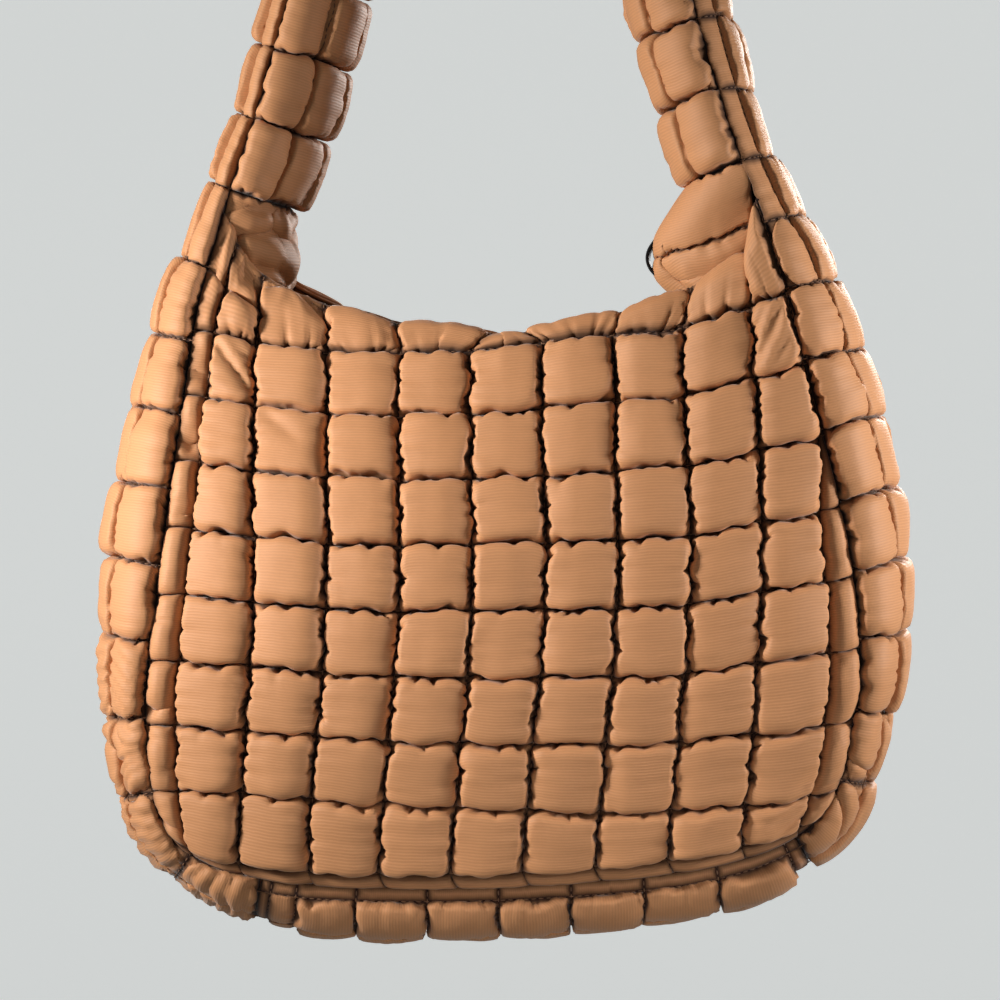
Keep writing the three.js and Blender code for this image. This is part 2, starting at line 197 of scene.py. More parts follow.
half_width_at = seam_curve("half_width", -1)
height_at = seam_curve("height", 1)
half_depth_at = seam_curve("half_depth", 1)
bulge_at = seam_curve("bulge", 1)


def seam_length_of(place):
    return seam_lengths[[row[0] for row in SEAM].index(place)]


def side_length(z):
    return solve(height_at, z, seam_length_of("bottom_end"), seam_length_of("strap_leg"))


def bottom_height(x):
    return height_at(solve(half_width_at, x, 0, seam_length_of("widest"))) + HALF_GAP


rim_columns = column_of(RIM_COLUMNS, RIM, "column")
second_height = smooth_curve(rim_columns, column_of(RIM_COLUMNS, RIM, "second_height"))
hem_height = smooth_curve(rim_columns, column_of(RIM_COLUMNS, RIM, "hem_height"))
rim_half_width = smooth_curve(rim_columns, column_of(RIM_COLUMNS, RIM, "rim_half_width"))
rim_height = smooth_curve(rim_columns, column_of(RIM_COLUMNS, RIM, "rim_height"))
belly = smooth_curve(column_of(BELLY_COLUMNS, BELLY, "row"), column_of(BELLY_COLUMNS, BELLY, "half_depth"))
corner_height = column_of(SEAM_COLUMNS, SEAM, "height")[[row[0] for row in SEAM].index("corner")]


def row_height(column, row, bottom):
    first = bottom + SLIM_ROW * (1 - SLIM_ROW_TAPER * (column / EDGE_COLUMN) ** 4)
    second = second_height(column)
    hem = hem_height(column)
    slim = bottom + (first - bottom) * row
    short = first + (second - first) * (row - 1)
    full = second + (hem - second) * (row - SECOND_ROW) / (HEM_ROW - SECOND_ROW)
    turned = hem + (rim_height(column) - hem) * (row - HEM_ROW)
    return np.select([row <= 1, row <= SECOND_ROW, row <= HEM_ROW], [slim, short, full], turned)


def column_x(column, edge):
    straight = np.minimum(column, STRAIGHT_COLUMNS) * CELL_WIDTH
    beyond = np.maximum(column - STRAIGHT_COLUMNS, 0) / (EDGE_COLUMN - STRAIGHT_COLUMNS)
    return straight + beyond * (edge - STRAIGHT_COLUMNS * CELL_WIDTH)


def panel_face(signed_column, row):
    """The stitched face of a panel, before the bag hangs. High on the right its half column runs out."""
    column = np.abs(signed_column)
    side = np.where(signed_column < 0, -1.0, 1.0)
    run_out = smooth_step(row, RUN_OUT_FROM, RUN_OUT_TO) * (EDGE_COLUMN - LAST_LINE - RUN_OUT_LEFT)
    last_line = LAST_LINE + np.where(side > 0, run_out, 0)
    last_cell = STRAIGHT_COLUMNS + (column - STRAIGHT_COLUMNS) * (last_line - STRAIGHT_COLUMNS)
    half_cell = last_line + (column - LAST_LINE) * (EDGE_COLUMN - last_line) / (EDGE_COLUMN - LAST_LINE)
    column = np.select([column <= STRAIGHT_COLUMNS, column <= LAST_LINE], [column, last_cell], half_cell)
    signed_column = side * column
    corner_x = half_width_at(side_length(corner_height)) - HALF_GAP
    edge_length = side_length(row_height(side * EDGE_COLUMN, row, corner_height))
    main_row = np.minimum(row, HEM_ROW)
    main_edge = half_width_at(side_length(row_height(side * EDGE_COLUMN, main_row, corner_height)))
    turned = np.maximum(row - HEM_ROW, 0)
    main_x = column_x(column, main_edge - HALF_GAP)
    rim_x = rim_half_width(signed_column) - HALF_GAP * column / EDGE_COLUMN
    x = main_x + (rim_x - main_x) * turned
    edge_x = main_edge + (rim_half_width(side * EDGE_COLUMN) - main_edge) * turned
    x = x + (half_width_at(edge_length) - edge_x) * (column / EDGE_COLUMN) ** 6
    z = row_height(signed_column, row, bottom_height(column_x(column, corner_x)))
    middle = 1 - (column / EDGE_COLUMN) ** BELLY_POWER
    edge_depth = half_depth_at(edge_length)
    depth = edge_depth + (belly(row) - edge_depth) * middle
    lean = PANEL_LEAN * (z - LEAN_PIVOT) * (1 - (column / EDGE_COLUMN) ** LEAN_POWER) * np.minimum(row, 1)
    return np.stack([side * x + lean, -depth, z], axis=-1)


def panel_with_roll(column, row):
    """The panel's face, carried on over the rim and down its inside as a small roll."""
    face = panel_face(column, np.minimum(row, RIM_ROW))
    below = panel_face(column, np.full(row.shape, RIM_ROW - 0.05))
    rim = panel_face(column, np.full(row.shape, float(RIM_ROW)))
    up = unit(rim - below)
    radius = ROLL_RADIUS + (ROLL_RADIUS_AT_TIP - ROLL_RADIUS) * (np.abs(column) / EDGE_COLUMN) ** 4
    angle = np.pi * np.maximum(row - RIM_ROW, 0) / (ROLL_END - RIM_ROW)
    over = (radius * np.sin(angle))[..., None] * up
    over[..., 1] += radius * (1 - np.cos(angle))
    return face + over


def hang(points):
    """The body rises to one side, its foot swings, and the strap turns about the vertical and sways."""
    up = smooth_step(points[..., 2], TURN_FROM, TURN_TO)
    body = 1 - smooth_step(points[..., 2], RISE_TO, TURN_TO)
    c = np.cos(STRAP_TURN * up)
    s = np.sin(STRAP_TURN * up)
    x = points[..., 0] + SWING * (1 - smooth_step(points[..., 2], SWING_FROM, SWING_TO))
    z = points[..., 2] + RISE * points[..., 0] * body
    return np.stack([c * x + s * points[..., 1] + STRAP_SWAY * up, -s * x + c * points[..., 1], z], axis=-1)


def quilt_axis(lines, cuts):
    """Grid lines along one side of a quilt: each cell between two stitch lines is cut into equal steps."""
    at = [lines[0]]
    cell = [0]
    part = [0.0]
    for k, steps in enumerate(cuts):
        for n in range(1, steps + 1):
            at.append(lines[k] + (lines[k + 1] - lines[k]) * n / steps)
            cell.append(k)
            part.append(n / steps)
    part = np.array(part)
    stitched = (part == 0) | (part == 1)
    return {"at": np.array(at), "cell": np.array(cell), "part": part, "stitched": stitched, "cuts": cuts}


def ragged(rng, count, length, reach):
    """Smooth random lines, each `length` long, with bumps about `reach` steps apart."""
    spread = np.arange(-2 * reach, 2 * reach + 1)
    weight = np.exp(-((spread / (0.35 * reach)) ** 2))
    noise = rng.normal(size=(count, length + 4 * reach))
    lines = np.stack([np.convolve(line, weight, mode="valid") for line in noise])
    return lines / np.std(lines)


def lumps(rng, shape, reach_v, reach_u):
    """A soft random field over a grid, with lumps about `reach` steps apart."""
    v = np.fft.fftfreq(shape[0])[:, None] * reach_v
    u = np.fft.rfftfreq(shape[1])[None, :] * reach_u
    field = np.fft.irfft2(np.fft.rfft2(rng.normal(size=shape)) * np.exp(-4 * (u * u + v * v)), s=shape)
    return field / np.std(field)


PUCKER_SPREAD = (0.5, 1.5)
PUCKER_WIDTH = (0.18, 0.30)
PUCKER_SIZE = (0.3, 1.0)


def puckers(rng, along, spacings):
    """Where cloth is nipped in along stitch lines: 1 at a pucker, 0 between two. One line per spacing."""
    nipped = np.zeros((len(spacings), len(along)))
    for line, spacing in zip(nipped, spacings):
        count = int(along[-1] / spacing * 1.3) + 6
        centres = np.cumsum(spacing * rng.uniform(*PUCKER_SPREAD, count)) - 2 * spacing * rng.uniform()
        width = rng.uniform(*PUCKER_WIDTH, count) * spacing
        depth = rng.uniform(*PUCKER_SIZE, count)
        line[:] = np.max(depth * np.exp(-((np.abs(along[:, None] - centres) / width) ** 1.4)), axis=1)
    return nipped


CREASE_COLUMNS = ("from_across", "from_up", "to_across", "to_up", "width", "depth")


def creases(table, across, up):
    """Folds pressed into a face: how far each point sinks, from a table of straight creases."""
    sunk = np.zeros(across.shape)
    for row in table:
        x0, y0, x1, y1, width, depth = (row[CREASE_COLUMNS.index(name)] for name in CREASE_COLUMNS)
        run = np.hypot(x1 - x0, y1 - y0)
        t = ((across - x0) * (x1 - x0) + (up - y0) * (y1 - y0)) / run**2
        off = ((across - x0) * (y1 - y0) - (up - y0) * (x1 - x0)) / run
        taper = smooth_step(t, -0.15, 0.2) * (1 - smooth_step(t, 0.7, 1.15))
        sunk += depth * taper * np.exp(-((off / width) ** 2))
    return sunk


FULLNESS = 0.24
PANEL_GROOVES = (0.7, 3.6, 0.4, 3.8)
PANEL_ROUNDS = (0.35, 0.35, 0.08)
CROSS_PUCKERS_APART = 5.4
UP_PUCKERS_APART = 9.5
PUCKER_REACH = 6
PUCKER_TAPER = 7
CELL_PUCKER_REACH = 4
CELL_UNDER_NIP = 0.3
PUCKER_DEPTH = 0.8
UNPUCKERED_BY_LIFT = 0.85
WANDER = 1.1
WANDER_APART_UP = 11
WANDER_APART_ACROSS = 12
PUFF_VARIES = 0.06
PUFF_LEANS = 0.07
DENT = 2.4
DENT_REACH = 9
DENTS_APART_UP = 16
DENTS_APART_ACROSS = 14
RIPPLE = 0.3
RIPPLES_APART_UP = 11
RIPPLES_APART_ACROSS = 13
LEAST_PUFF = 0.3
UNEVEN = 0.25
GATHERS_APART = 7
GATHER_REACH = 7
GATHER = 0.34
PUSH = 0.22
BEND = 0.05
STRETCH_HELD = 0.9
SLACK_TAKEN = 0.12
SEWING_TURNS = 260
LIFTED_LINE_AWAY = 12
LIFTED_LINE_NIP = 0.22
LIFTED_LINE_TOP = 0.8
WALL_TOP_AT = 0.45
LINE_EDGE = 3


def draw_in(offset, step, rest, free, axis):
    """Pulls neighbouring points along one side of the grid to their cut distance, in two sets."""
    for start in (0, 1):
        if axis == 1:
            a, b = offset[:, start:-1:2], offset[:, start + 1 :: 2]
            wa, wb = free[:, start:-1:2], free[:, start + 1 :: 2]
            base, cut = step[:, start::2], rest[:, start::2]
        else:
            a, b = offset[start:-1:2], offset[start + 1 :: 2]
            wa, wb = free[start:-1:2], free[start + 1 :: 2]
            base, cut = step[start::2], rest[start::2]
        apart = b - a
        apart[..., 1 - axis] += base
        length = np.sqrt(np.einsum("ijk,ijk->ij", apart, apart)) + 1e-6
        stretch = 1 - cut / length
        stretch *= np.where(stretch > 0, STRETCH_HELD, SLACK_TAKEN) / np.maximum(wa + wb, 1)
        apart *= stretch[..., None]
        a += wa[..., None] * apart
        b -= wb[..., None] * apart


def cell_sizes(base, across, up):
    """Steps of a grid across and up, and the width and the height of the cell that each point lies in."""
    step_u = np.linalg.norm(np.diff(base, axis=1), axis=2).astype(np.float32)
    step_v = np.linalg.norm(np.diff(base, axis=0), axis=2).astype(np.float32)
    starts_u = np.concatenate([[0], np.cumsum(across["cuts"])[:-1]])
    starts_v = np.concatenate([[0], np.cumsum(up["cuts"])[:-1]])
    cell_width = np.add.reduceat(step_u, starts_u, axis=1)[:, across["cell"]]
    cell_height = np.add.reduceat(step_v, starts_v, axis=0)[up["cell"], :]
    return step_u, step_v, cell_width, cell_height


def sew(
    base,
    across,
    up,
    crown,
    seed,
    turns,
    fullness=FULLNESS,
    grooves=PANEL_GROOVES,
    rounds=PANEL_ROUNDS,
    crest=0.5,
    lift=None,
    extra=None,
    swell=0,
    cross_puckers=None,
    up_puckers=None,
    up_reach=CELL_PUCKER_REACH,
    under_nip=CELL_UNDER_NIP,
    gather=GATHER,
    dent_side=0,
):
    """Cloth sewn down along the stitch lines of a grid and pushed out by its wadding.

    Gives each point's offset across, up and outwards from the stitched face. `grooves` are the half widths
    of the grooves at the stitch lines and of their puckers. `rounds` is how far a cell falls away to its
    near side, its far side, and its top and bottom, and `crest` is where across it stands highest. `lift` is
    how high each line that runs up is held by the wadding under it. `extra` marks more stitched points.
    `swell` is added to the height of the wadding. `cross_puckers` and `up_puckers` are the distances between
    puckers along each line, `up_reach` is how far the latter run into a cell, and `under_nip` is how much of
    them shows above a line. `gather` is the height of the soft wrinkles beside the lines, and `dent_side`
    moves the dents to the far side of a cell, or to the near side where it is below 0.
    """
    rng = np.random.default_rng(seed)
    high, wide = base.shape[:2]
    step_u, step_v, cell_width, cell_height = cell_sizes(base, across, up)
    rest_u = step_u * (1 + fullness)
    rest_v = step_v * (1 + fullness)
    grid_u, grid_v = np.median(step_u), np.median(step_v)
    s = np.broadcast_to(across["part"], (high, wide))
    t = np.broadcast_to(up["part"][:, None], (high, wide))
    place_u = s * cell_width
    place_v = t * cell_height
    side_u = np.minimum(place_u, cell_width - place_u)
    side_v = np.minimum(place_v, cell_height - place_v)
    size = np.minimum(1, np.minimum(cell_width, cell_height) / FULL_CELL)

    stitched = across["stitched"][None, :] | up["stitched"][:, None]
    if extra is not None:
        stitched = stitched | extra
    free = (~stitched).astype(np.float32)

    # Half widths of the grooves on all four sides of a cell, with their puckers
    along_u = np.concatenate([[0], np.cumsum(np.median(step_u, axis=0))])
    along_v = np.concatenate([[0], np.cumsum(np.median(step_v, axis=1))])
    lines_u, lines_v = len(across["cuts"]) + 1, len(up["cuts"]) + 1
    spacings_u = [CROSS_PUCKERS_APART] * lines_u if cross_puckers is None else cross_puckers
    spacings_v = [UP_PUCKERS_APART] * lines_v if up_puckers is None else up_puckers
    nip_near = puckers(rng, along_v, spacings_u)[across["cell"]].T
    nip_far = puckers(rng, along_v, spacings_u)[across["cell"] + 1].T
    nip_under = puckers(rng, along_u, spacings_v)[up["cell"]]
    nip_over = puckers(rng, along_u, spacings_v)[up["cell"] + 1]
    wander_u = WANDER * ragged(rng, lines_u, high, max(3, round(WANDER_APART_UP / grid_v)))
    wander_v = WANDER * ragged(rng, lines_v, wide, max(3, round(WANDER_APART_ACROSS / grid_u)))
    lift = np.zeros(lines_u) if lift is None else np.array(lift)
    lift_near, lift_far = lift[across["cell"]], lift[across["cell"] + 1]
    cross, cross_pucker, along, up_pucker = grooves
    slim = size**2
    near = (cross + wander_u[across["cell"]].T + cross_pucker * nip_near) * slim * (1 - lift_near)
    far = (cross - wander_u[across["cell"] + 1].T + cross_pucker * nip_far) * slim * (1 - lift_far)
    under = (along + wander_v[up["cell"]] + up_pucker * under_nip * nip_under) * slim
    over = (along - wander_v[up["cell"] + 1] + up_pucker * nip_over) * slim

    # How high the wadding reaches
    grid_cells = np.ix_(up["cell"], across["cell"])
    cell_count = (len(up["cuts"]), len(across["cuts"]))
    cells = rng.normal(1, PUFF_VARIES, cell_count)[grid_cells]
    lean_u = rng.normal(0, PUFF_LEANS, cell_count)[grid_cells]
    lean_v = rng.normal(0, PUFF_LEANS, cell_count)[grid_cells]
    near_round, far_round, up_round = rounds
    near_fall = near_round * (1 - lift_near) * np.maximum(1 - s / crest, 0) ** 1.4
    far_fall = far_round * (1 - lift_far) * np.maximum((s - crest) / (1 - crest), 0) ** 1.8
    dome = (1 - near_fall - far_fall) * (1 - up_round * np.abs(2 * t - 1) ** 3)
    ceiling = crown * size * cells * dome * (1 + lean_u * (2 * s - 1) + lean_v * (2 * t - 1))
    flute_near = nip_near * (1 - UNPUCKERED_BY_LIFT * lift_near) * np.exp(-place_u / PUCKER_REACH)
    flute_far = nip_far * (1 - UNPUCKERED_BY_LIFT * lift_far) * np.exp((place_u - cell_width) / PUCKER_REACH)
    flute = np.maximum(flute_near, flute_far)
    from_top = cell_height - place_v
    flute_under = under_nip * nip_under ** (1 + place_v / PUCKER_TAPER) * np.exp(-place_v / up_reach)
    flute_over = nip_over ** (1 + from_top / PUCKER_TAPER) * np.exp(-from_top / up_reach)
    flute = np.maximum(flute, np.maximum(flute_under, flute_over))
    dents = lumps(rng, (high, wide), DENTS_APART_UP / grid_v, DENTS_APART_ACROSS / grid_u)
    ripples = RIPPLE * lumps(rng, (high, wide), RIPPLES_APART_UP / grid_v, RIPPLES_APART_ACROSS / grid_u)
    ceiling = ceiling * (1 - PUCKER_DEPTH * flute * size) + ripples * size
    dents = DENT * (1 + dent_side * (2 * s - 1)) * np.maximum(dents, 0)
    ceiling = ceiling - dents * np.exp(-side_u / DENT_REACH) * size
    ceiling = np.maximum(ceiling + swell, LEAST_PUFF).astype(np.float32)

    # The stitched points, and the cloth as it starts out
    line_lift = np.where(across["part"] == 1, lift_far, np.where(across["part"] == 0, lift_near, 0))
    held = crown * size * line_lift * (1 - np.abs(2 * t - 1) ** 4) * (1 - LIFTED_LINE_NIP * nip_far)
    held = np.where(stitched, np.minimum(held, LIFTED_LINE_TOP * ceiling), 0).astype(np.float32)
    offset = np.zeros((high, wide, 3), np.float32)
    pillow = (1 - np.abs(2 * s - 1) ** 4) * (1 - np.abs(2 * t - 1) ** 4)
    offset[..., 2] = ceiling * pillow * free + held
    offset += UNEVEN * rng.normal(size=offset.shape).astype(np.float32) * free[..., None]

    # The cloth is pushed out, smoothed, drawn in to its cut size and kept between the walls of the grooves
    for _ in range(turns):
        tangent_u = np.zeros_like(offset)
        tangent_v = np.zeros_like(offset)
        tangent_u[:, 1:-1] = offset[:, 2:] - offset[:, :-2]
        tangent_u[:, 1:-1, 0] += step_u[:, 1:] + step_u[:, :-1]
        tangent_v[1:-1] = offset[2:] - offset[:-2]
        tangent_v[1:-1, :, 1] += step_v[1:] + step_v[:-1]
        normal = unit(np.cross(tangent_u, tangent_v))
        offset += PUSH * normal * free[..., None]

        mean = np.zeros_like(offset)
        mean[1:-1, 1:-1] = (
            offset[:-2, 1:-1] + offset[2:, 1:-1] + offset[1:-1, :-2] + offset[1:-1, 2:]
        ) / 4 - offset[1:-1, 1:-1]
        offset += BEND * mean * free[..., None]

        draw_in(offset, step_u, rest_u, free, 1)
        draw_in(offset, step_v, rest_v, free, 0)

        height = offset[..., 2]
        height -= 0.5 * np.maximum(height - ceiling, 0)
        np.maximum(height, 0, out=height)
        height[stitched] = held[stitched]
        wall = smooth_step(height, 0, WALL_TOP_AT * np.maximum(ceiling, 1))
        walled_u = np.clip(offset[..., 0], near * wall - place_u, cell_width - far * wall - place_u)
        walled_v = np.clip(offset[..., 1], under * wall - place_v, cell_height - over * wall - place_v)
        offset[..., 0] = np.where(stitched, offset[..., 0], walled_u)
        offset[..., 1] = np.where(stitched, offset[..., 1], walled_v)

    # Soft wrinkles beside the lines
    apart_u = max(3, round(GATHERS_APART / grid_u))
    apart_v = max(3, round(GATHERS_APART / grid_v))
    gather_near, gather_far = np.split(ragged(rng, 2 * lines_u, high, apart_v), 2)
    gather_under, gather_over = np.split(ragged(rng, 2 * lines_v, wide, apart_u), 2)
    gathers = gather_near[across["cell"]].T * np.exp(-place_u / GATHER_REACH)
    gathers += gather_far[across["cell"] + 1].T * np.exp((place_u - cell_width) / GATHER_REACH)
    gathers += gather_under[up["cell"]] * np.exp(-place_v / GATHER_REACH)
    gathers += gather_over[up["cell"] + 1] * np.exp((place_v - cell_height) / GATHER_REACH)
    offset[..., 2] += gather * size * gathers * np.clip(np.minimum(side_u, side_v) / LINE_EDGE, 0, 1) * free
    return offset


def sheet_directions(base):
    """Unit directions across, up and outwards at each point of a face."""
    across = unit(np.gradient(base, axis=1))
    up = unit(np.gradient(base, axis=0))
    return across, up, unit(np.cross(across, up))


def placed(name, data):
    """A new object in the scene."""
    made = bpy.data.objects.new(name, data)
    bpy.context.scene.collection.objects.link(made)
    return made


def lengths_along(grid, axis):
    """Mean length from a grid's first line to each of its lines."""
    steps = np.linalg.norm(np.diff(grid, axis=axis), axis=2).mean(axis=1 - axis)
    return np.concatenate([[0], np.cumsum(steps)])


def closed_quilt(name, outer, inner, stitch_distance):
    """A closed mesh: a fine outer grid and an inner grid of every other line, joined round the edge."""
    high, wide = outer.shape[:2]
    rows, columns = inner.shape[:2]
    a = np.arange(high * wide).reshape(high, wide)
    b = high * wide + np.arange(rows * columns).reshape(rows, columns)
    front = np.stack([a[:-1, :-1], a[:-1, 1:], a[1:, 1:], a[1:, :-1]], axis=-1).reshape(-1, 4)
    back = np.stack([b[:-1, :-1], b[1:, :-1], b[1:, 1:], b[:-1, 1:]], axis=-1).reshape(-1, 4)
    ring_a, ring_b = (np.concatenate([r[0, :-1], r[:-1, -1], r[-1, :0:-1], r[:0:-1, 0]]) for r in (a, b))
    a0, a1, a2 = ring_a[0::2], ring_a[1::2], np.roll(ring_a, -2)[0::2]
    b0, b1 = ring_b, np.roll(ring_b, -1)
    triangles = ((a1, a0, b0), (b1, a1, b0), (a2, a1, b1))
    edge = np.concatenate([np.stack(triangle, axis=1) for triangle in triangles])
    points = np.concatenate([outer.reshape(-1, 3), inner.reshape(-1, 3)]) * MM
    mesh = bpy.data.meshes.new(name)
    mesh.from_pydata(points.tolist(), [], front.tolist() + back.tolist() + edge.tolist())
    mesh.polygons.foreach_set("use_smooth", np.ones(len(mesh.polygons), bool))

    distances = np.concatenate([stitch_distance.ravel(), stitch_distance[::2, ::2].ravel()])
    stitch = mesh.attributes.new("stitch_distance", "FLOAT", "POINT")
    stitch.data.foreach_set("value", distances.astype(np.float32))
    flat = np.stack(np.meshgrid(lengths_along(outer, 1), lengths_along(outer, 0)), axis=-1) * MM
    cloth = np.concatenate([flat.reshape(-1, 2), flat[::2, ::2].reshape(-1, 2)])
    corners = np.zeros(len(mesh.loops), np.int32)
    mesh.loops.foreach_get("vertex_index", corners)
    layer = mesh.uv_layers.new(name="cloth")
    layer.uv.foreach_set("vector", cloth[corners].astype(np.float32).ravel())
    mesh.validate()
    return placed(name, mesh)


def distance_to_stitch(base, across, up, lift):
    """How far each point lies from the nearest deep stitch line, in millimetres."""
    _, _, width, height = cell_sizes(base, across, up)
    lift = np.zeros(len(across["cuts"]) + 1) if lift is None else np.array(lift)
    near = across["part"] * width + LIFTED_LINE_AWAY * lift[across["cell"]]
    far = (1 - across["part"]) * width + LIFTED_LINE_AWAY * lift[across["cell"] + 1]
    side_v = np.minimum(up["part"], 1 - up["part"])[:, None] * height
    return np.minimum(np.minimum(near, far), side_v)


def plug(tree, made, **sockets):
    """Sets a node's properties and inputs by name, with _ for a space. A pair (node, output) is linked."""
    for name, value in sockets.items():
        socket = name.replace("_", " ")
        if socket not in made.inputs:
            setattr(made, name, value)
        elif isinstance(value, tuple) and isinstance(value[0], bpy.types.Node):
            tree.links.new(value[0].outputs[value[1]], made.inputs[socket])
        else:
            made.inputs[socket].default_value = value
    return made


def node(tree, kind, **sockets):
    return plug(tree, tree.nodes.new(kind), **sockets)


def maths(tree, operation, *values):
    made = tree.nodes.new("ShaderNodeMath")
    made.operation = operation
    for socket, value in zip(made.inputs, values):
        if isinstance(value, tuple):
            tree.links.new(value[0].outputs[value[1]], socket)
        else:
            socket.default_value = value
    return made


def node_group(name, kind, inputs, outputs):
    """A node tree with named sockets, and the node that its inputs come from."""
    tree = bpy.data.node_groups.new(name, kind)
    for in_out, sockets in (("INPUT", inputs), ("OUTPUT", outputs)):
        for socket, holds in sockets.items():
            tree.interface.new_socket(socket, in_out=in_out, socket_type="NodeSocket" + holds)
    return tree, tree.nodes.new("NodeGroupInput")


def dye_and_groove_shade_group():
    """Cloth colour over a piece: dye that varies a little, and painted shade that darkens it down in the
    stitch lines, where it is also duller.
    """
    tree, inside = node_group(
        "dye_and_groove_shade",
        "ShaderNodeTree",
        {
            "Cloth Colour": "Color",
            "Deep Colour": "Color",
            "Stitch Distance": "Float",
            "Groove Width": "Float",
            "Place": "Vector",
            "Weave": "Float",
        },
        {"Colour": "Color", "Roughness": "Float"},
    )
    cloud = node(tree, "ShaderNodeTexNoise", Scale=14.0, Detail=3.0, Vector=(inside, "Place"))
    speck = node(tree, "ShaderNodeTexNoise", Scale=420.0, Detail=2.0, Vector=(inside, "Place"))
    tone = maths(tree, "MULTIPLY_ADD", (cloud, "Fac"), 0.16, 0.90)
    fine = maths(tree, "MULTIPLY_ADD", (speck, "Fac"), 0.06, 0.97)
    ribs = maths(tree, "MULTIPLY_ADD", (inside, "Weave"), 0.18, 0.91)
    even = maths(tree, "MULTIPLY", (tone, "Value"), (fine, "Value"))
    shade = maths(tree, "MULTIPLY", (even, "Value"), (ribs, "Value"))
    dyed = node(tree, "ShaderNodeHueSaturation", Color=(inside, "Cloth Colour"), Value=(shade, "Value"))
    # Painted shade: near a stitch line the dye gives way to the deep colour, a dark that stands for the
    # shadow down in the groove.
    near = maths(tree, "DIVIDE", (inside, "Stitch Distance"), (inside, "Groove Width"))
    groove = node(tree, "ShaderNodeMapRange", interpolation_type="SMOOTHSTEP", Value=(near, "Value"))
    mix = node(
        tree,
        "ShaderNodeMix",
        data_type="RGBA",
        Factor=(groove, "Result"),
        A=(inside, "Deep Colour"),
        B=(dyed, "Color"),
    )
    dull = maths(tree, "MULTIPLY_ADD", (cloud, "Fac"), 0.12, 0.56)
    rough = node(tree, "ShaderNodeMapRange", Value=(groove, "Result"), To_Min=1.0, To_Max=(dull, "Value"))
    node(tree, "NodeGroupOutput", Colour=(mix, "Result"), Roughness=(rough, "Result"))
    return tree


def cloth_grain_group():
    """Relief of woven cloth: two crossing sets of threads, and faint creases left by folding."""
    tree, inside = node_group(
        "cloth_grain",
        "ShaderNodeTree",
        {"Cloth": "Vector", "Threads per Metre": "Float", "Crease Height": "Float"},
        {"Height": "Float", "Weave": "Float"},
    )
    around = maths(tree, "MULTIPLY", (inside, "Threads per Metre"), 0.1 * math.pi)
    finer = maths(tree, "MULTIPLY", (around, "Value"), 3.0)
    threads = {"Vector": (inside, "Cloth")}
    picks = node(
        tree, "ShaderNodeTexWave", bands_direction="Y", Distortion=1.2, Scale=(around, "Value"), **threads
    )
    ends = node(tree, "ShaderNodeTexWave", bands_direction="X", Scale=(finer, "Value"), **threads)
    rib = maths(tree, "MULTIPLY", (picks, "Fac"), 0.75)
    weave = maths(tree, "MULTIPLY_ADD", (ends, "Fac"), 0.25, (rib, "Value"))
    crease = node(tree, "ShaderNodeTexNoise", Scale=55.0, Detail=4.0, **threads)
    total = maths(tree, "MULTIPLY_ADD", (crease, "Fac"), (inside, "Crease Height"), (weave, "Value"))
    node(tree, "NodeGroupOutput", Height=(total, "Value"), Weave=(weave, "Value"))
    return tree


dye_and_groove_shade = dye_and_groove_shade_group()
cloth_grain = cloth_grain_group()


def new_material(name):
    """A material, its node tree and its shader."""
    material = bpy.data.materials.new(name)
    material.use_nodes = True
    return material, material.node_tree, material.node_tree.nodes["Principled BSDF"]


def cloth_material(name, colour, deep, groove_width, threads, crease, bump, sheen):
    """Woven cloth: dyed colour that gives way to the deep colour near its stitch lines, grain and creases,
    with a soft sheen.
    """
    material, tree, shader = new_material(name)
    place = tree.nodes.new("ShaderNodeTexCoord")
    cloth = node(tree, "ShaderNodeUVMap", uv_map="cloth")
    distance = node(tree, "ShaderNodeAttribute", attribute_name="stitch_distance")
    grain = node(
        tree,
        "ShaderNodeGroup",
        node_tree=cloth_grain,
        Cloth=(cloth, "UV"),
        Threads_per_Metre=threads,
        Crease_Height=crease,
    )
    dye = node(
        tree,
        "ShaderNodeGroup",
        node_tree=dye_and_groove_shade,
        Cloth_Colour=colour,
        Deep_Colour=deep,
        Stitch_Distance=(distance, "Fac"),
        Groove_Width=groove_width,
        Place=(place, "Object"),
        Weave=(grain, "Weave"),
    )
    relief = node(tree, "ShaderNodeBump", Strength=bump, Distance=0.0004, Height=(grain, "Height"))
    plug(
        tree,
        shader,
        Base_Color=(dye, "Colour"),
        Roughness=(dye, "Roughness"),
        Normal=(relief, "Normal"),
        Specular_IOR_Level=0.35,
        Sheen_Weight=sheen,
        Sheen_Roughness=0.4,
    )
    return material


CAMEL = (0.52, 0.238, 0.101, 1)
# Painted shade: a near-black that stands for the shadow down in the stitch grooves.
GROOVE_SHADE_CAMEL = (0.022, 0.008, 0.005, 1)
CAMEL_THREAD = (0.20, 0.09, 0.04, 1)
CAMEL_WEAVE = {"threads": 600, "bump": 0.28, "sheen": 0.16}
quilted_nylon = cloth_material(
    "quilted_nylon", CAMEL, GROOVE_SHADE_CAMEL, groove_width=6.0, crease=3.0, **CAMEL_WEAVE
)


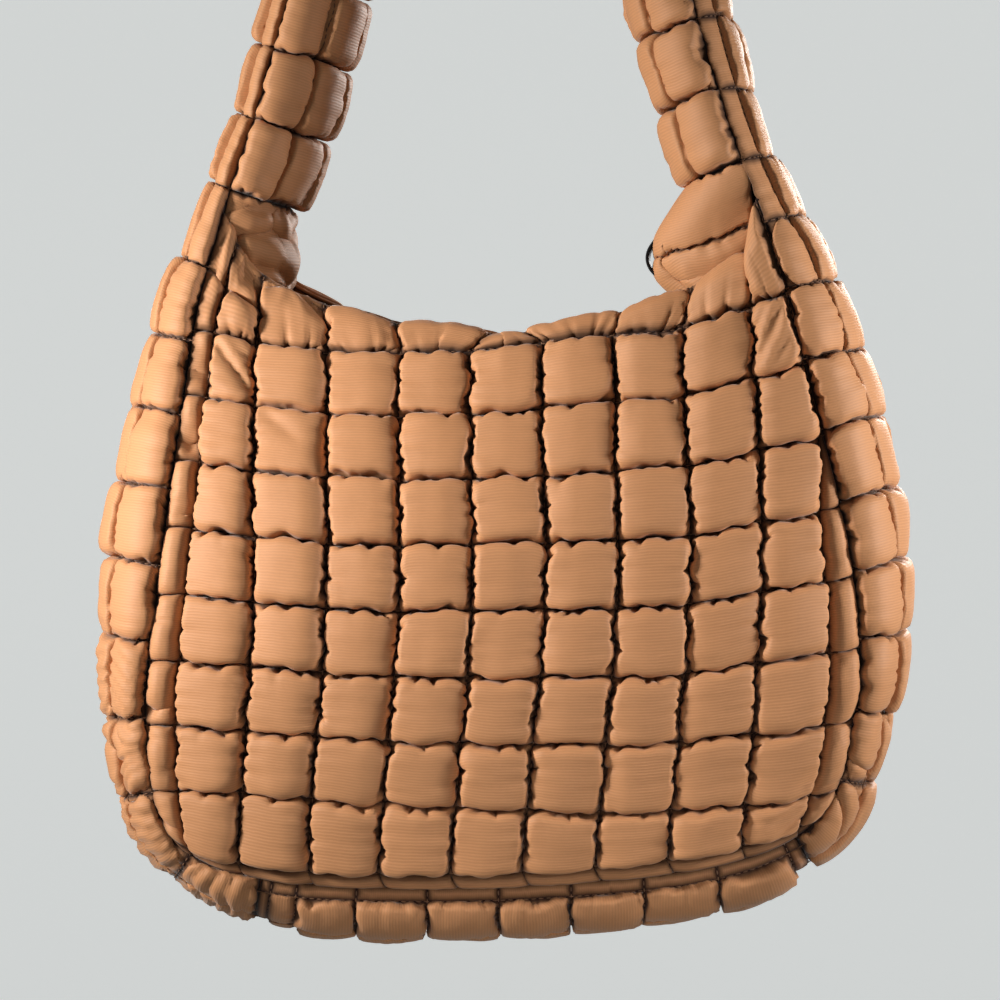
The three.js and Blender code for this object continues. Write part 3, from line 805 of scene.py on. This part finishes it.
def thread_tree():
    """Stitches laid end to end along lines, as small spindles of thread."""
    tree, inside = node_group(
        "stitches",
        "GeometryNodeTree",
        {"Geometry": "Geometry", "Stitch Pitch": "Float", "Stitch Size": "Vector", "Thread": "Material"},
        {"Geometry": "Geometry"},
    )
    lines = node(tree, "GeometryNodeMeshToCurve", Mesh=(inside, "Geometry"))
    pitch = (inside, "Stitch Pitch")
    places = node(tree, "GeometryNodeCurveToPoints", mode="LENGTH", Curve=(lines, "Curve"), Length=pitch)
    spindle = node(tree, "GeometryNodeMeshIcoSphere", Radius=1.0, Subdivisions=1)
    laid = node(
        tree,
        "GeometryNodeInstanceOnPoints",
        Points=(places, "Points"),
        Rotation=(places, "Rotation"),
        Instance=(spindle, "Mesh"),
        Scale=(inside, "Stitch Size"),
    )
    joined = node(tree, "GeometryNodeRealizeInstances", Geometry=(laid, "Instances"))
    spun = (inside, "Thread")
    threaded = node(tree, "GeometryNodeSetMaterial", Geometry=(joined, "Geometry"), Material=spun)
    node(tree, "NodeGroupOutput", Geometry=(threaded, "Geometry"))
    return tree


def thread_material():
    """Spun thread, dyed to match the cloth and a little darker."""
    material, tree, shader = new_material("thread")
    place = tree.nodes.new("ShaderNodeTexCoord")
    dye = node(
        tree,
        "ShaderNodeGroup",
        node_tree=dye_and_groove_shade,
        Cloth_Colour=CAMEL_THREAD,
        Deep_Colour=GROOVE_SHADE_CAMEL,
        Stitch_Distance=2.0,
        Groove_Width=2.0,
        Place=(place, "Object"),
    )
    plug(tree, shader, Base_Color=(dye, "Colour"), Roughness=(dye, "Roughness"))
    return material


stitches = thread_tree()
thread = thread_material()
STITCH_PITCH = 4.6
STITCH_SIZE = (0.42, 0.42, 1.75)


def sew_thread(name, lines):
    """Stitches along lines of points, made into one piece of thread."""
    points = np.concatenate(lines) * MM
    starts = np.cumsum([0] + [len(line) for line in lines])
    edges = [(k, k + 1) for a, b in zip(starts, starts[1:]) for k in range(a, b - 1)]
    mesh = bpy.data.meshes.new(name + "_lines")
    mesh.from_pydata(points.tolist(), edges, [])
    lines_object = placed(name + "_lines", mesh)
    laying = lines_object.modifiers.new("stitches", "NODES")
    laying.node_group = stitches
    sockets = {item.name: item.identifier for item in stitches.interface.items_tree if item.in_out == "INPUT"}
    laying[sockets["Stitch Pitch"]] = STITCH_PITCH * MM
    laying[sockets["Stitch Size"]] = [size * MM for size in STITCH_SIZE]
    laying[sockets["Thread"]] = thread
    seen = bpy.context.evaluated_depsgraph_get()
    made = bpy.data.meshes.new_from_object(lines_object.evaluated_get(seen))
    made.name = name
    made.polygons.foreach_set("use_smooth", np.ones(len(made.polygons), bool))
    bpy.data.objects.remove(lines_object)
    bpy.data.meshes.remove(mesh)
    piece = placed(name, made)
    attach(piece, "root")


COLUMN_CUTS = [12] + [30] * 9 + [12]
ROW_CUTS = [8] + [26] * 8 + [32]
LINING_PUFF = 1.2
LINING_PUFF_REACH = 12
THREAD_LIFT = 0.5


def quilted_piece(
    name, surface, across, up, crown, seed, inward=None, cloth=quilted_nylon, slot="quilted_nylon", **sewing
):
    """A quilted sheet over a surface: sewn, closed with its lining and threaded."""
    grid_u, grid_v = np.meshgrid(across["at"], up["at"])
    base = hang(surface(grid_u, grid_v))
    along, upward, out = sheet_directions(base)
    turns = SEWING_TURNS
    crown = crown(grid_u, grid_v) if callable(crown) else crown
    offset = sew(base, across, up, crown, seed, turns, **sewing)
    outer = base + along * offset[..., :1] + upward * offset[..., 1:2] + out * offset[..., 2:]
    distance = distance_to_stitch(base, across, up, sewing.get("lift"))
    behind = -out[::2, ::2] if inward is None else np.broadcast_to(inward, out[::2, ::2].shape)
    depth = STITCH_THICKNESS + LINING_PUFF * np.clip(distance[::2, ::2] / LINING_PUFF_REACH, 0, 1)
    inner = base[::2, ::2] + behind * depth[..., None]
    piece = closed_quilt(name, outer, inner, distance)
    piece.data.materials.append(cloth)
    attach(piece, "root")
    raised = outer + out * THREAD_LIFT
    lines = [raised[:, i] for i in np.flatnonzero(across["stitched"])[1:-1]]
    lines += [raised[j] for j in np.flatnonzero(up["stitched"])[1:-1]]
    sew_thread(name + "_thread", lines)
    return piece


HEM_PUFF = 0.5
HEM_END_PUFF = 0.4
RIM_FLATTENED = 0.85
HALF_COLUMN_PUFF = 1.35


def panel_crown(column, row):
    """How high the wadding reaches over a panel: full cells, and a flatter hem that thickens at its ends."""
    hem = HEM_PUFF + HEM_END_PUFF * smooth_step(np.abs(column), 2.5, 4)
    hem = hem * (1 - RIM_FLATTENED * smooth_step(row, RIM_ROW - 0.45, RIM_ROW))
    half = np.where(np.abs(column) > LAST_LINE, HALF_COLUMN_PUFF, 1)
    return PUFF * half * np.where(row <= HEM_ROW, 1, hem)


ROW_HEIGHT = 36
FRONT_CREASES = [
    (-4.45, 8.95, -3.55, 8.1, 3.5, 4.0),
    (-4.2, 8.95, -3.6, 8.5, 2.6, 2.6),
    (-4.5, 8.3, -3.9, 8.05, 3.0, 2.4),
    (-3.4, 7.9, -2.9, 7.5, 3.0, 1.8),
    (3.55, 8.08, 4.3, 8.85, 3.0, 3.5),
    (3.75, 8.05, 4.4, 8.6, 2.6, 2.6),
    (3.55, 8.35, 4.05, 8.9, 2.6, 2.4),
    (4.5, 1.9, 3.9, 1.5, 3.0, 2.5),
    (4.5, 1.6, 4.0, 1.3, 3.0, 2.5),
    (4.5, 2.5, 4.1, 2.25, 3.0, 2.0),
]
CREASE_SCALE = (CELL_WIDTH, ROW_HEIGHT, CELL_WIDTH, ROW_HEIGHT, 1, 1)
HEM_PUCKERS = [10] * 9 + [9, 8]
HEM_PUCKER_REACH = 9
TIP_SEAM_ROW = 9.55
TIP_SEAM_END = -3.6
TIP_CRUMPLE = 6
HALF_COLUMN_DENT = 5

panel_across = quilt_axis(COLUMN_LINES, COLUMN_CUTS)
panel_up = quilt_axis(ROW_LINES, ROW_CUTS)
panel_columns, panel_rows = np.meshgrid(panel_across["at"], panel_up["at"])
to_left = np.clip(-panel_columns / 3, 0, 1)
to_right = np.clip(panel_columns / 3, 0, 0.8)
in_hem = panel_rows > HEM_ROW
tip_seam = np.zeros(panel_columns.shape, bool)
tip_seam[np.abs(panel_up["at"] - TIP_SEAM_ROW).argmin()] = panel_across["at"] < TIP_SEAM_END
half_dents = HALF_COLUMN_DENT * np.maximum(lumps(np.random.default_rng(17), panel_columns.shape, 9, 9), 0)
half_dents = half_dents * (np.abs(panel_columns) > LAST_LINE)
tip_crumple = TIP_CRUMPLE * np.abs(lumps(np.random.default_rng(19), panel_columns.shape, 9, 8))
tip_crumple = tip_crumple * smooth_step(panel_rows, 9.35, 9.6) * smooth_step(-panel_columns, 2.2, 3.2)
front_folds = creases(
    [[value * scale for value, scale in zip(row, CREASE_SCALE)] for row in FRONT_CREASES],
    panel_columns * CELL_WIDTH,
    panel_rows * ROW_HEIGHT,
)
front_quilt = quilted_piece(
    "front_quilt",
    panel_with_roll,
    panel_across,
    panel_up,
    panel_crown,
    seed=11,
    inward=(0, 1, 0),
    rounds=(0.22 + 0.3 * to_left + 0.5 * to_right, 0.3 + 0.55 * to_left + 0.15 * to_right, 0.08),
    crest=0.5 + 0.12 * to_left - 0.1 * to_right,
    up_reach=np.where(in_hem, HEM_PUCKER_REACH, CELL_PUCKER_REACH),
    under_nip=np.where(in_hem, 1, CELL_UNDER_NIP),
    extra=tip_seam,
    dent_side=to_left - to_right,
    swell=-half_dents - tip_crumple - front_folds,
    up_puckers=HEM_PUCKERS,
)
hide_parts("front_panel")

# Back panel
# The same padded and quilted sheet as the front, cut as its mirror image and sewn in behind.

BACK_COLUMN_CUTS = [10] + [24] * 9 + [10]
BACK_ROW_CUTS = [6] + [22] * 8 + [24]


def back_with_roll(column, row):
    return panel_with_roll(column, row) * (1, -1, 1)


back_quilt = quilted_piece(
    "back_quilt",
    back_with_roll,
    quilt_axis(COLUMN_LINES[::-1], BACK_COLUMN_CUTS),
    quilt_axis(ROW_LINES, BACK_ROW_CUTS),
    panel_crown,
    seed=23,
    inward=(0, -1, 0),
    up_puckers=HEM_PUCKERS,
)
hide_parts("back_panel")

# Bottom gusset
# A quilted strip under the bag, three cells wide, sewn to both panels along its edges.
# Its ends are turned in and stitched down twice where they meet the strip that climbs the sides.

GUSSET_LINES = [-142, -135, -120, -84, -41, 2, 46, 90, 134, 175, 182]
GUSSET_CUTS = [4, 8, 18, 22, 22, 22, 22, 22, 20, 4]
GUSSET_ACROSS = [-1, -0.83, -0.28, 0.28, 0.83, 1]
GUSSET_ACROSS_CUTS = [8, 24, 24, 24, 8]
GUSSET_FLATTENED = 4.5
GUSSET_FLATTENED_RIGHT = 2.5
GUSSET_FULLER_END = 4


def seam_at(length):
    """Place, half depth and bulge of the seam, anywhere round the loop."""
    wrapped = np.mod(length + CROWN, 2 * CROWN) - CROWN
    side = np.where(wrapped < 0, -1.0, 1.0)
    k = np.abs(wrapped)
    return side * half_width_at(k), height_at(k), half_depth_at(k), bulge_at(k)


def seam_outward(length):
    """Direction outwards from the loop."""
    x0, z0, _, _ = seam_at(length - 0.5)
    x1, z1, _, _ = seam_at(length + 0.5)
    along = unit(np.stack([x1 - x0, z1 - z0], axis=-1))
    return np.stack([along[..., 1], np.zeros(length.shape), -along[..., 0]], axis=-1)


def strip_face(across, length):
    """The stitched face of the strip: across from the front seam to the back seam, along the loop."""
    x, z, depth, bulge = seam_at(length)
    angle = across * np.pi / 2
    stand = bulge * np.cos(angle) + HALF_GAP
    return np.stack([x, depth * np.sin(angle), z], axis=-1) + seam_outward(length) * stand[..., None]


gusset_places = np.array(GUSSET_LINES, float)
gusset_rows = solve(half_width_at, np.abs(gusset_places), 0, seam_length_of("widest"))
gusset_rows = gusset_rows * np.sign(gusset_places)
left_join, right_join = gusset_rows[0], gusset_rows[-1]
gusset_rows[0] += HALF_GAP
gusset_rows[-1] -= HALF_GAP
gusset_across = quilt_axis(GUSSET_ACROSS, GUSSET_ACROSS_CUTS)
gusset_up = quilt_axis(gusset_rows, GUSSET_CUTS)
gusset_flat = GUSSET_FLATTENED + GUSSET_FLATTENED_RIGHT * smooth_step(gusset_up["at"], 20, 100)
gusset_flat = gusset_flat - GUSSET_FULLER_END * smooth_step(gusset_up["at"], 115, 165)
gusset_quilt = quilted_piece(
    "gusset_quilt",
    strip_face,
    gusset_across,
    gusset_up,
    PUFF,
    seed=37,
    swell=-gusset_flat[:, None],
    grooves=(1.0, 2.4, 1.0, 2.6),
    rounds=(0.3, 0.3, 0.36),
)
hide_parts("bottom_gusset")

# Strip
# One long quilted strip, four cells wide, from the right end of the gusset up the side, over the shoulder
# as the outside of the strap, and down the other side. It is pushed down and crumpled low on the left.

STRIP_CELL = 45
STRIP_ACROSS = [-1, -0.5, 0, 0.5, 1]
STRIP_ACROSS_CUTS = [24] * 4
STRIP_CELL_CUTS = 22
FOOT_RIGHT = -195
FOOT_LEFT = -207
STRIP_HALF_GIRTH = 78
STRIP_SEWING = {
    "grooves": (1.0, 2.4, 0.7, 3.0),
    "rounds": (0.5, 0.5, 0.42),
    "lift": [0, 0.8, 0.8, 0.8, 0],
    "cross_puckers": [6, 5.2, 5.2, 5.2, 6],
    "under_nip": 0.6,
    "gather": 0.6,
}
STRIP_UP_PUCKERS = 6


def even_cells(start, end):
    return np.linspace(start, end, round((end - start) / STRIP_CELL) + 1)


def up_right(z):
    """Length round the loop to a height on the right side."""
    return float(side_length(np.array(float(z))))


def up_left(z):
    """Length round the loop, over the crown, to a height on the left side."""
    return 2 * CROWN - up_right(z)


right_foot = up_right(FOOT_RIGHT)
left_foot = up_left(FOOT_LEFT)
lining_rows = even_cells(right_foot, left_foot)
right_rows = even_cells(right_join + HALF_GAP, right_foot)
left_rows = even_cells(left_foot, 2 * CROWN + left_join - HALF_GAP)
strip_rows = np.concatenate([right_rows, lining_rows[1:], left_rows[1:]])
strip_across = quilt_axis(STRIP_ACROSS, STRIP_ACROSS_CUTS)
strip_up = quilt_axis(strip_rows, [STRIP_CELL_CUTS] * (len(strip_rows) - 1))
strip_u, strip_v = np.meshgrid(strip_across["at"], strip_up["at"])

STRIP_CREASES = [
    (-STRIP_HALF_GIRTH, up_right(-558), -25, up_right(-571), 3.0, 6.0),
    (-STRIP_HALF_GIRTH, up_right(-566), -30, up_right(-590), 3.4, 7.0),
    (-STRIP_HALF_GIRTH, up_right(-578), -40, up_right(-603), 3.0, 6.0),
    (-60, up_right(-530), -20, up_right(-545), 3.0, 3.5),
]
# How far the wadding is pressed in at each height, on either side.
TRIM_COLUMNS = ("side", "height", "sunk")
STRIP_TRIM = [
    ("right", -600, 6.5),
    ("right", -560, 6.5),
    ("right", -490, 2),
    ("right", -420, 0),
    ("right", -330, 4),
    ("right", -250, 7.5),
    ("right", -120, 7.5),
    ("left", -120, 3),
    ("left", -250, 3),
    ("left", -330, 4),
    ("left", -420, 0),
    ("left", -570, 0),
    ("left", -602, 4.5),
    ("left", -618, 3),
    ("left", -632, 0.5),
]
CRUMPLE_FROM = -430
CRUMPLE_FULL = -520
CRUMPLE_PITCH = 8
CRUMPLE_DRIFT = 5
CRUMPLE_SLANT = 9
CRUMPLE_HEIGHT = 4.5
CRUMPLE_FLATTENED = 9.5
LAST_CRUMPLES = (-85, -55)
LAST_CRUMPLES_LOWER = 0.8

trim_lengths = [up_right(z) if side == "right" else up_left(z) for side, z, _ in STRIP_TRIM]
strip_trim = smooth_curve(trim_lengths, column_of(TRIM_COLUMNS, STRIP_TRIM, "sunk"))
crumple_drift = CRUMPLE_DRIFT * lumps(np.random.default_rng(5), strip_u.shape, 10, 16)
crumple_waves = np.pi * (strip_v + crumple_drift + CRUMPLE_SLANT * strip_u) / CRUMPLE_PITCH
last_crumples = smooth_step(strip_v - strip_rows[-1], *LAST_CRUMPLES)
crumple_height = CRUMPLE_HEIGHT - LAST_CRUMPLES_LOWER * last_crumples
crumple = crumple_height * np.abs(np.sin(crumple_waves)) ** 0.8 - CRUMPLE_FLATTENED
crumple = crumple * smooth_step(strip_v, up_left(CRUMPLE_FROM), up_left(CRUMPLE_FULL))
strip_quilt = quilted_piece(
    "strip_quilt",
    strip_face,
    strip_across,
    strip_up,
    PUFF,
    seed=41,
    swell=crumple - strip_trim(strip_v) - creases(STRIP_CREASES, strip_u * STRIP_HALF_GIRTH, strip_v),
    up_puckers=[STRIP_UP_PUCKERS] * len(strip_rows),
    **STRIP_SEWING,
)
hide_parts("strap_strip")

# Strap lining
# The quilted inside of the strap, padded like the strip and sewn to it along both edges from foot to foot.

LINING_BULGE_RIGHT = 33
LINING_BULGE_LEFT = 27


def inner_face(across, length, bulge, seam_inset, side_inset):
    """The face of a layer that swells into the loop: the strap's lining or a facing."""
    x, z, depth, _ = seam_at(length)
    angle = across * np.pi / 2
    stand = -bulge * np.cos(angle) - seam_inset
    arch = np.stack([x, (depth - side_inset) * np.sin(angle), z], axis=-1)
    return arch + seam_outward(length) * stand[..., None]


lining_bulge = smooth_curve([right_foot, left_foot], [LINING_BULGE_RIGHT, LINING_BULGE_LEFT])


def lining_face(across, length):
    return inner_face(across, length, lining_bulge(length), HALF_GAP, 0)


lining_quilt = quilted_piece(
    "lining_quilt",
    lining_face,
    quilt_axis(STRIP_ACROSS[::-1], STRIP_ACROSS_CUTS),
    quilt_axis(lining_rows, [STRIP_CELL_CUTS] * (len(lining_rows) - 1)),
    PUFF,
    seed=53,
    up_puckers=[STRIP_UP_PUCKERS] * len(lining_rows),
    **STRIP_SEWING,
)
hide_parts("strap_lining")

# Facings
# Plain unquilted nylon inside the mouth at each foot of the strap, one padded piece to a foot.
# A line of stitching gathers the right one, and the left one is pushed up into thick folds.

FACING_COLUMNS = ("down", "right_bulge", "left_bulge", "seam_inset", "side_inset")
FACING = [
    (0, LINING_BULGE_RIGHT, LINING_BULGE_LEFT, 0.2, 0),
    (15, 50, 30, 1, 3.5),
    (32, 63, 34, 4.5, 10.5),
    (54, 66, 33, 6, 16),
    (80, 46, 23, 6, 19),
    (104, 12, 9, 6, 21),
]
FACING_PUFF = 6.5
FACING_CUTS = 72
RIGHT_FACING_LINES = [0, 41, 104]
RIGHT_FACING_CUTS = [30, 44]
LEFT_FACING_LINES = [0, 52, 104]
LEFT_FACING_CUTS = [40, 36]

facing_down = column_of(FACING_COLUMNS, FACING, "down")
facing_seam_inset = smooth_curve(facing_down, column_of(FACING_COLUMNS, FACING, "seam_inset"))
facing_side_inset = smooth_curve(facing_down, column_of(FACING_COLUMNS, FACING, "side_inset"))
right_bulge = smooth_curve(facing_down, column_of(FACING_COLUMNS, FACING, "right_bulge"))
left_bulge = smooth_curve(facing_down, column_of(FACING_COLUMNS, FACING, "left_bulge"))


def facing_face(across, length, bulge, down):
    return inner_face(across, length, bulge(down), facing_seam_inset(down), facing_side_inset(down))


def right_facing_face(across, down):
    return facing_face(across, right_foot - 2 * HALF_GAP - down, right_bulge, down)


def left_facing_face(across, down):
    return facing_face(across, left_foot + 2 * HALF_GAP + down, left_bulge, down)


def facing_crown(across, down):
    return FACING_PUFF * (1 - 0.9 * np.abs(across) ** 3)


plain_nylon = cloth_material("plain_nylon", CAMEL, GROOVE_SHADE_CAMEL, groove_width=2.5, crease=4.0, **CAMEL_WEAVE)
FACING_SEWING = {
    "cloth": plain_nylon,
    "slot": "plain_nylon",
    "fullness": 0.14,
    "grooves": (0.2, 0.3, 0.8, 4.0),
    "rounds": (0.2, 0.2, 0.3),
    "up_puckers": [9, 7, 12],
    "up_reach": 9,
    "under_nip": 0.8,
}
DIMPLE = 3.6
DIMPLE_PLACE = (-0.25, 60)
DIMPLE_SIZE = (0.12, 7)
SLACK = 2.6

right_u = quilt_axis([-1, 1], [FACING_CUTS])
right_v = quilt_axis(RIGHT_FACING_LINES, RIGHT_FACING_CUTS)
right_across, right_down = np.meshgrid(right_u["at"], right_v["at"])
dimple_across = (right_across - DIMPLE_PLACE[0]) / DIMPLE_SIZE[0]
dimple_down = (right_down - DIMPLE_PLACE[1]) / DIMPLE_SIZE[1]
dimple = DIMPLE * np.exp(-(dimple_across**2) - dimple_down**2)
slack = SLACK * np.abs(lumps(np.random.default_rng(23), right_across.shape, 15, 11))
right_facing_cloth = quilted_piece(
    "right_facing_cloth",
    right_facing_face,
    right_u,
    right_v,
    facing_crown,
    seed=61,
    swell=-(dimple + slack * smooth_step(right_down, 28, 48)),
    **FACING_SEWING,
)
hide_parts("right_facing")

FOLD_PITCH = 18
FOLD_DRIFT = 3.5
FOLD_ARCH = 9
FOLD_HEIGHT = 8
FOLD_SUNK = 7.5
FOLDS_TO = 46
FOLD_CRUMPLE = 1.8
LOW_CRUMPLE = 3.4

left_u = quilt_axis([1, -1], [FACING_CUTS])
left_v = quilt_axis(LEFT_FACING_LINES, LEFT_FACING_CUTS)
left_across, left_down = np.meshgrid(left_u["at"], left_v["at"])
fold_rng = np.random.default_rng(9)
fold_drift = FOLD_DRIFT * lumps(fold_rng, left_across.shape, 30, 40)
fold_arch = FOLD_ARCH * (2 * np.abs(left_across) - 1) ** 2
rings = np.abs(np.sin(np.pi * (left_down - fold_arch + fold_drift) / FOLD_PITCH)) ** 0.7
crumples = np.abs(lumps(fold_rng, left_across.shape, 11, 9))
ringed = FOLD_HEIGHT * rings - FOLD_SUNK - FOLD_CRUMPLE * crumples
folds = np.where(left_down < FOLDS_TO, ringed, -LOW_CRUMPLE * crumples)
left_facing_cloth = quilted_piece(
    "left_facing_cloth",
    left_facing_face,
    left_u,
    left_v,
    facing_crown,
    seed=67,
    swell=folds * (1 - np.abs(left_across) ** 6),
    **FACING_SEWING,
)
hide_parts("left_facing")

# Inner loop
# A short length of black ribbon, bowed out from the right facing and sewn down at both ends.

LOOP_DOWN = 28
LOOP_LENGTH = 24
LOOP_STAND = 5
LOOP_THICKNESS = 1.8
LOOP_WIDTH = 14
LOOP_SEAT = 2.3
LOOP_CUTS = 24
LOOP_WIDTH_CUTS = 8
RIBBON_BLACK = (0.012, 0.012, 0.014, 1)
RIBBON_EDGE = (0.006, 0.006, 0.007, 1)

loop_side, loop_part = np.meshgrid(np.linspace(-1, 1, LOOP_WIDTH_CUTS + 1), np.linspace(0, 1, LOOP_CUTS + 1))
loop_foot = right_facing_face(np.zeros(loop_part.shape), LOOP_DOWN + LOOP_LENGTH * loop_part)
_, _, loop_out = sheet_directions(loop_foot + loop_side[..., None] * np.array([0, LOOP_WIDTH / 2, 0]))
loop_stand = LOOP_SEAT + LOOP_STAND * np.sin(np.pi * loop_part)
loop_back = loop_foot + loop_out * loop_stand[..., None]
loop_face = loop_back + loop_out * LOOP_THICKNESS * (1 - 0.25 * loop_side**6)[..., None]
for layer in (loop_back, loop_face):
    layer[..., 1] = loop_side * LOOP_WIDTH / 2
black_ribbon = cloth_material(
    "black_ribbon",
    RIBBON_BLACK,
    RIBBON_EDGE,
    groove_width=1.0,
    threads=1000,
    crease=1.0,
    bump=0.6,
    sheen=0.1,
)
loop_edge = (LOOP_WIDTH / 2) * (1 - np.abs(loop_side))
ribbon_loop = closed_quilt("ribbon_loop", hang(loop_face), hang(loop_back[::2, ::2]), loop_edge)
ribbon_loop.data.materials.append(black_ribbon)
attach(ribbon_loop, "root")
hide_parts("inner_loop")

# Studio
# A plain pale floor that sweeps up into a plain wall all round. Small soft lights stand at the left and the
# right, a weak one shines on the underside, and one lights the back.

bag_low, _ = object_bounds()
FLOOR_HEIGHT = bag_low[2] - 0.55
FLOOR_RADIUS = 3.4
SWEEP_RADIUS = 1.2
WALL_TOP = 3.2
SWEEP_CUTS = 12
SWEEP_SIDES = 96
PALE = (0.78, 0.80, 0.79, 1)
GLOW_ON_BAG = 0.06
GLOW_SEEN = 0.69
AIR_COLOUR = (0.9, 0.95, 1.0, 1)
AIR_STRENGTH = 0.10

sweep_profile = [(FLOOR_RADIUS, FLOOR_HEIGHT)]
for k in range(1, SWEEP_CUTS + 1):
    turn = math.pi / 2 * k / SWEEP_CUTS
    out = FLOOR_RADIUS + SWEEP_RADIUS * math.sin(turn)
    sweep_profile.append((out, FLOOR_HEIGHT + SWEEP_RADIUS * (1 - math.cos(turn))))
sweep_profile.append((FLOOR_RADIUS + SWEEP_RADIUS, FLOOR_HEIGHT + WALL_TOP))
sweep_points = [(0.0, 0.0, FLOOR_HEIGHT)]
for radius, height in sweep_profile:
    for k in range(SWEEP_SIDES):
        turn = 2 * math.pi * k / SWEEP_SIDES
        sweep_points.append((radius * math.cos(turn), radius * math.sin(turn), height))
sweep_faces = [(0, 1 + k, 1 + (k + 1) % SWEEP_SIDES) for k in range(SWEEP_SIDES)]
for ring in range(len(sweep_profile) - 1):
    for k in range(SWEEP_SIDES):
        n = (k + 1) % SWEEP_SIDES
        low, high = 1 + ring * SWEEP_SIDES, 1 + (ring + 1) * SWEEP_SIDES
        sweep_faces.append((low + k, high + k, high + n, low + n))
sweep_mesh = bpy.data.meshes.new("studio_floor")
sweep_mesh.from_pydata(sweep_points, [], sweep_faces)
sweep_mesh.polygons.foreach_set("use_smooth", np.ones(len(sweep_mesh.polygons), bool))
studio_floor = placed("studio_floor", sweep_mesh)

pale_paint, paint_tree, paint = new_material("pale_paint")
seen_by = paint_tree.nodes.new("ShaderNodeLightPath")
glow = node(
    paint_tree,
    "ShaderNodeMapRange",
    Value=(seen_by, "Is Camera Ray"),
    To_Min=GLOW_ON_BAG,
    To_Max=GLOW_SEEN,
)
plug(
    paint_tree,
    paint,
    Base_Color=PALE,
    Roughness=0.9,
    Specular_IOR_Level=0.1,
    Emission_Color=PALE,
    Emission_Strength=(glow, "Result"),
)
sweep_mesh.materials.append(pale_paint)

world = bpy.data.worlds.new("studio_air")
world.use_nodes = True
plug(world.node_tree, world.node_tree.nodes["Background"], Color=AIR_COLOUR, Strength=AIR_STRENGTH)
bpy.context.scene.world = world


BAG_MIDDLE = (0.0, 0.0, -0.39)
UNDER_BAG = (0.05, 0.0, -0.70)
LIGHT_COLOUR = (1.0, 0.98, 0.95)
LIGHT_COLUMNS = ("name", "place", "aim", "size", "power", "spread")
LIGHTS = [
    ("left_light", (-1.15, -0.50, -0.15), BAG_MIDDLE, 0.18, 3.0, 60),
    ("right_light", (1.05, -0.28, -0.28), BAG_MIDDLE, 0.18, 1.5, 66),
    ("low_light", (0.25, -1.25, -0.80), UNDER_BAG, 0.30, 0.14, 28),
    ("back_light", (0.80, 1.25, 0.05), BAG_MIDDLE, 0.30, 2.4, 60),
]
for row in LIGHTS:
    name, place, aim, size, power, spread = (row[LIGHT_COLUMNS.index(column)] for column in LIGHT_COLUMNS)
    lamp = bpy.data.lights.new(name, "AREA")
    lamp.shape = "SQUARE"
    lamp.size = size
    lamp.energy = power
    lamp.spread = math.radians(spread)
    lamp.color = LIGHT_COLOUR
    light = placed(name, lamp)
    light.location = place
    direction = mathutils.Vector(aim) - mathutils.Vector(place)
    light.rotation_euler = direction.to_track_quat("-Z", "Y").to_euler()
    light.visible_camera = False

# Camera
# Almost level with the bag and straight in front of it, far enough off for little perspective.

CAMERA_ELEVATION = math.radians(2)
CAMERA_DISTANCE = 1.9
CAMERA_AIM = (-0.003, 0.0, -0.401)
VIEW_WIDTH = 0.625
SENSOR_WIDTH = 36

camera_data = bpy.data.cameras.new("camera")
camera_data.sensor_width = SENSOR_WIDTH
camera_data.lens = SENSOR_WIDTH * CAMERA_DISTANCE / VIEW_WIDTH
camera = placed("camera", camera_data)
camera.location = (
    CAMERA_AIM[0],
    CAMERA_AIM[1] - CAMERA_DISTANCE * math.cos(CAMERA_ELEVATION),
    CAMERA_AIM[2] + CAMERA_DISTANCE * math.sin(CAMERA_ELEVATION),
)
camera.rotation_euler = (math.pi / 2 - CAMERA_ELEVATION, 0, 0)
bpy.context.scene.camera = camera
bpy.context.scene.view_settings.view_transform = "Standard"
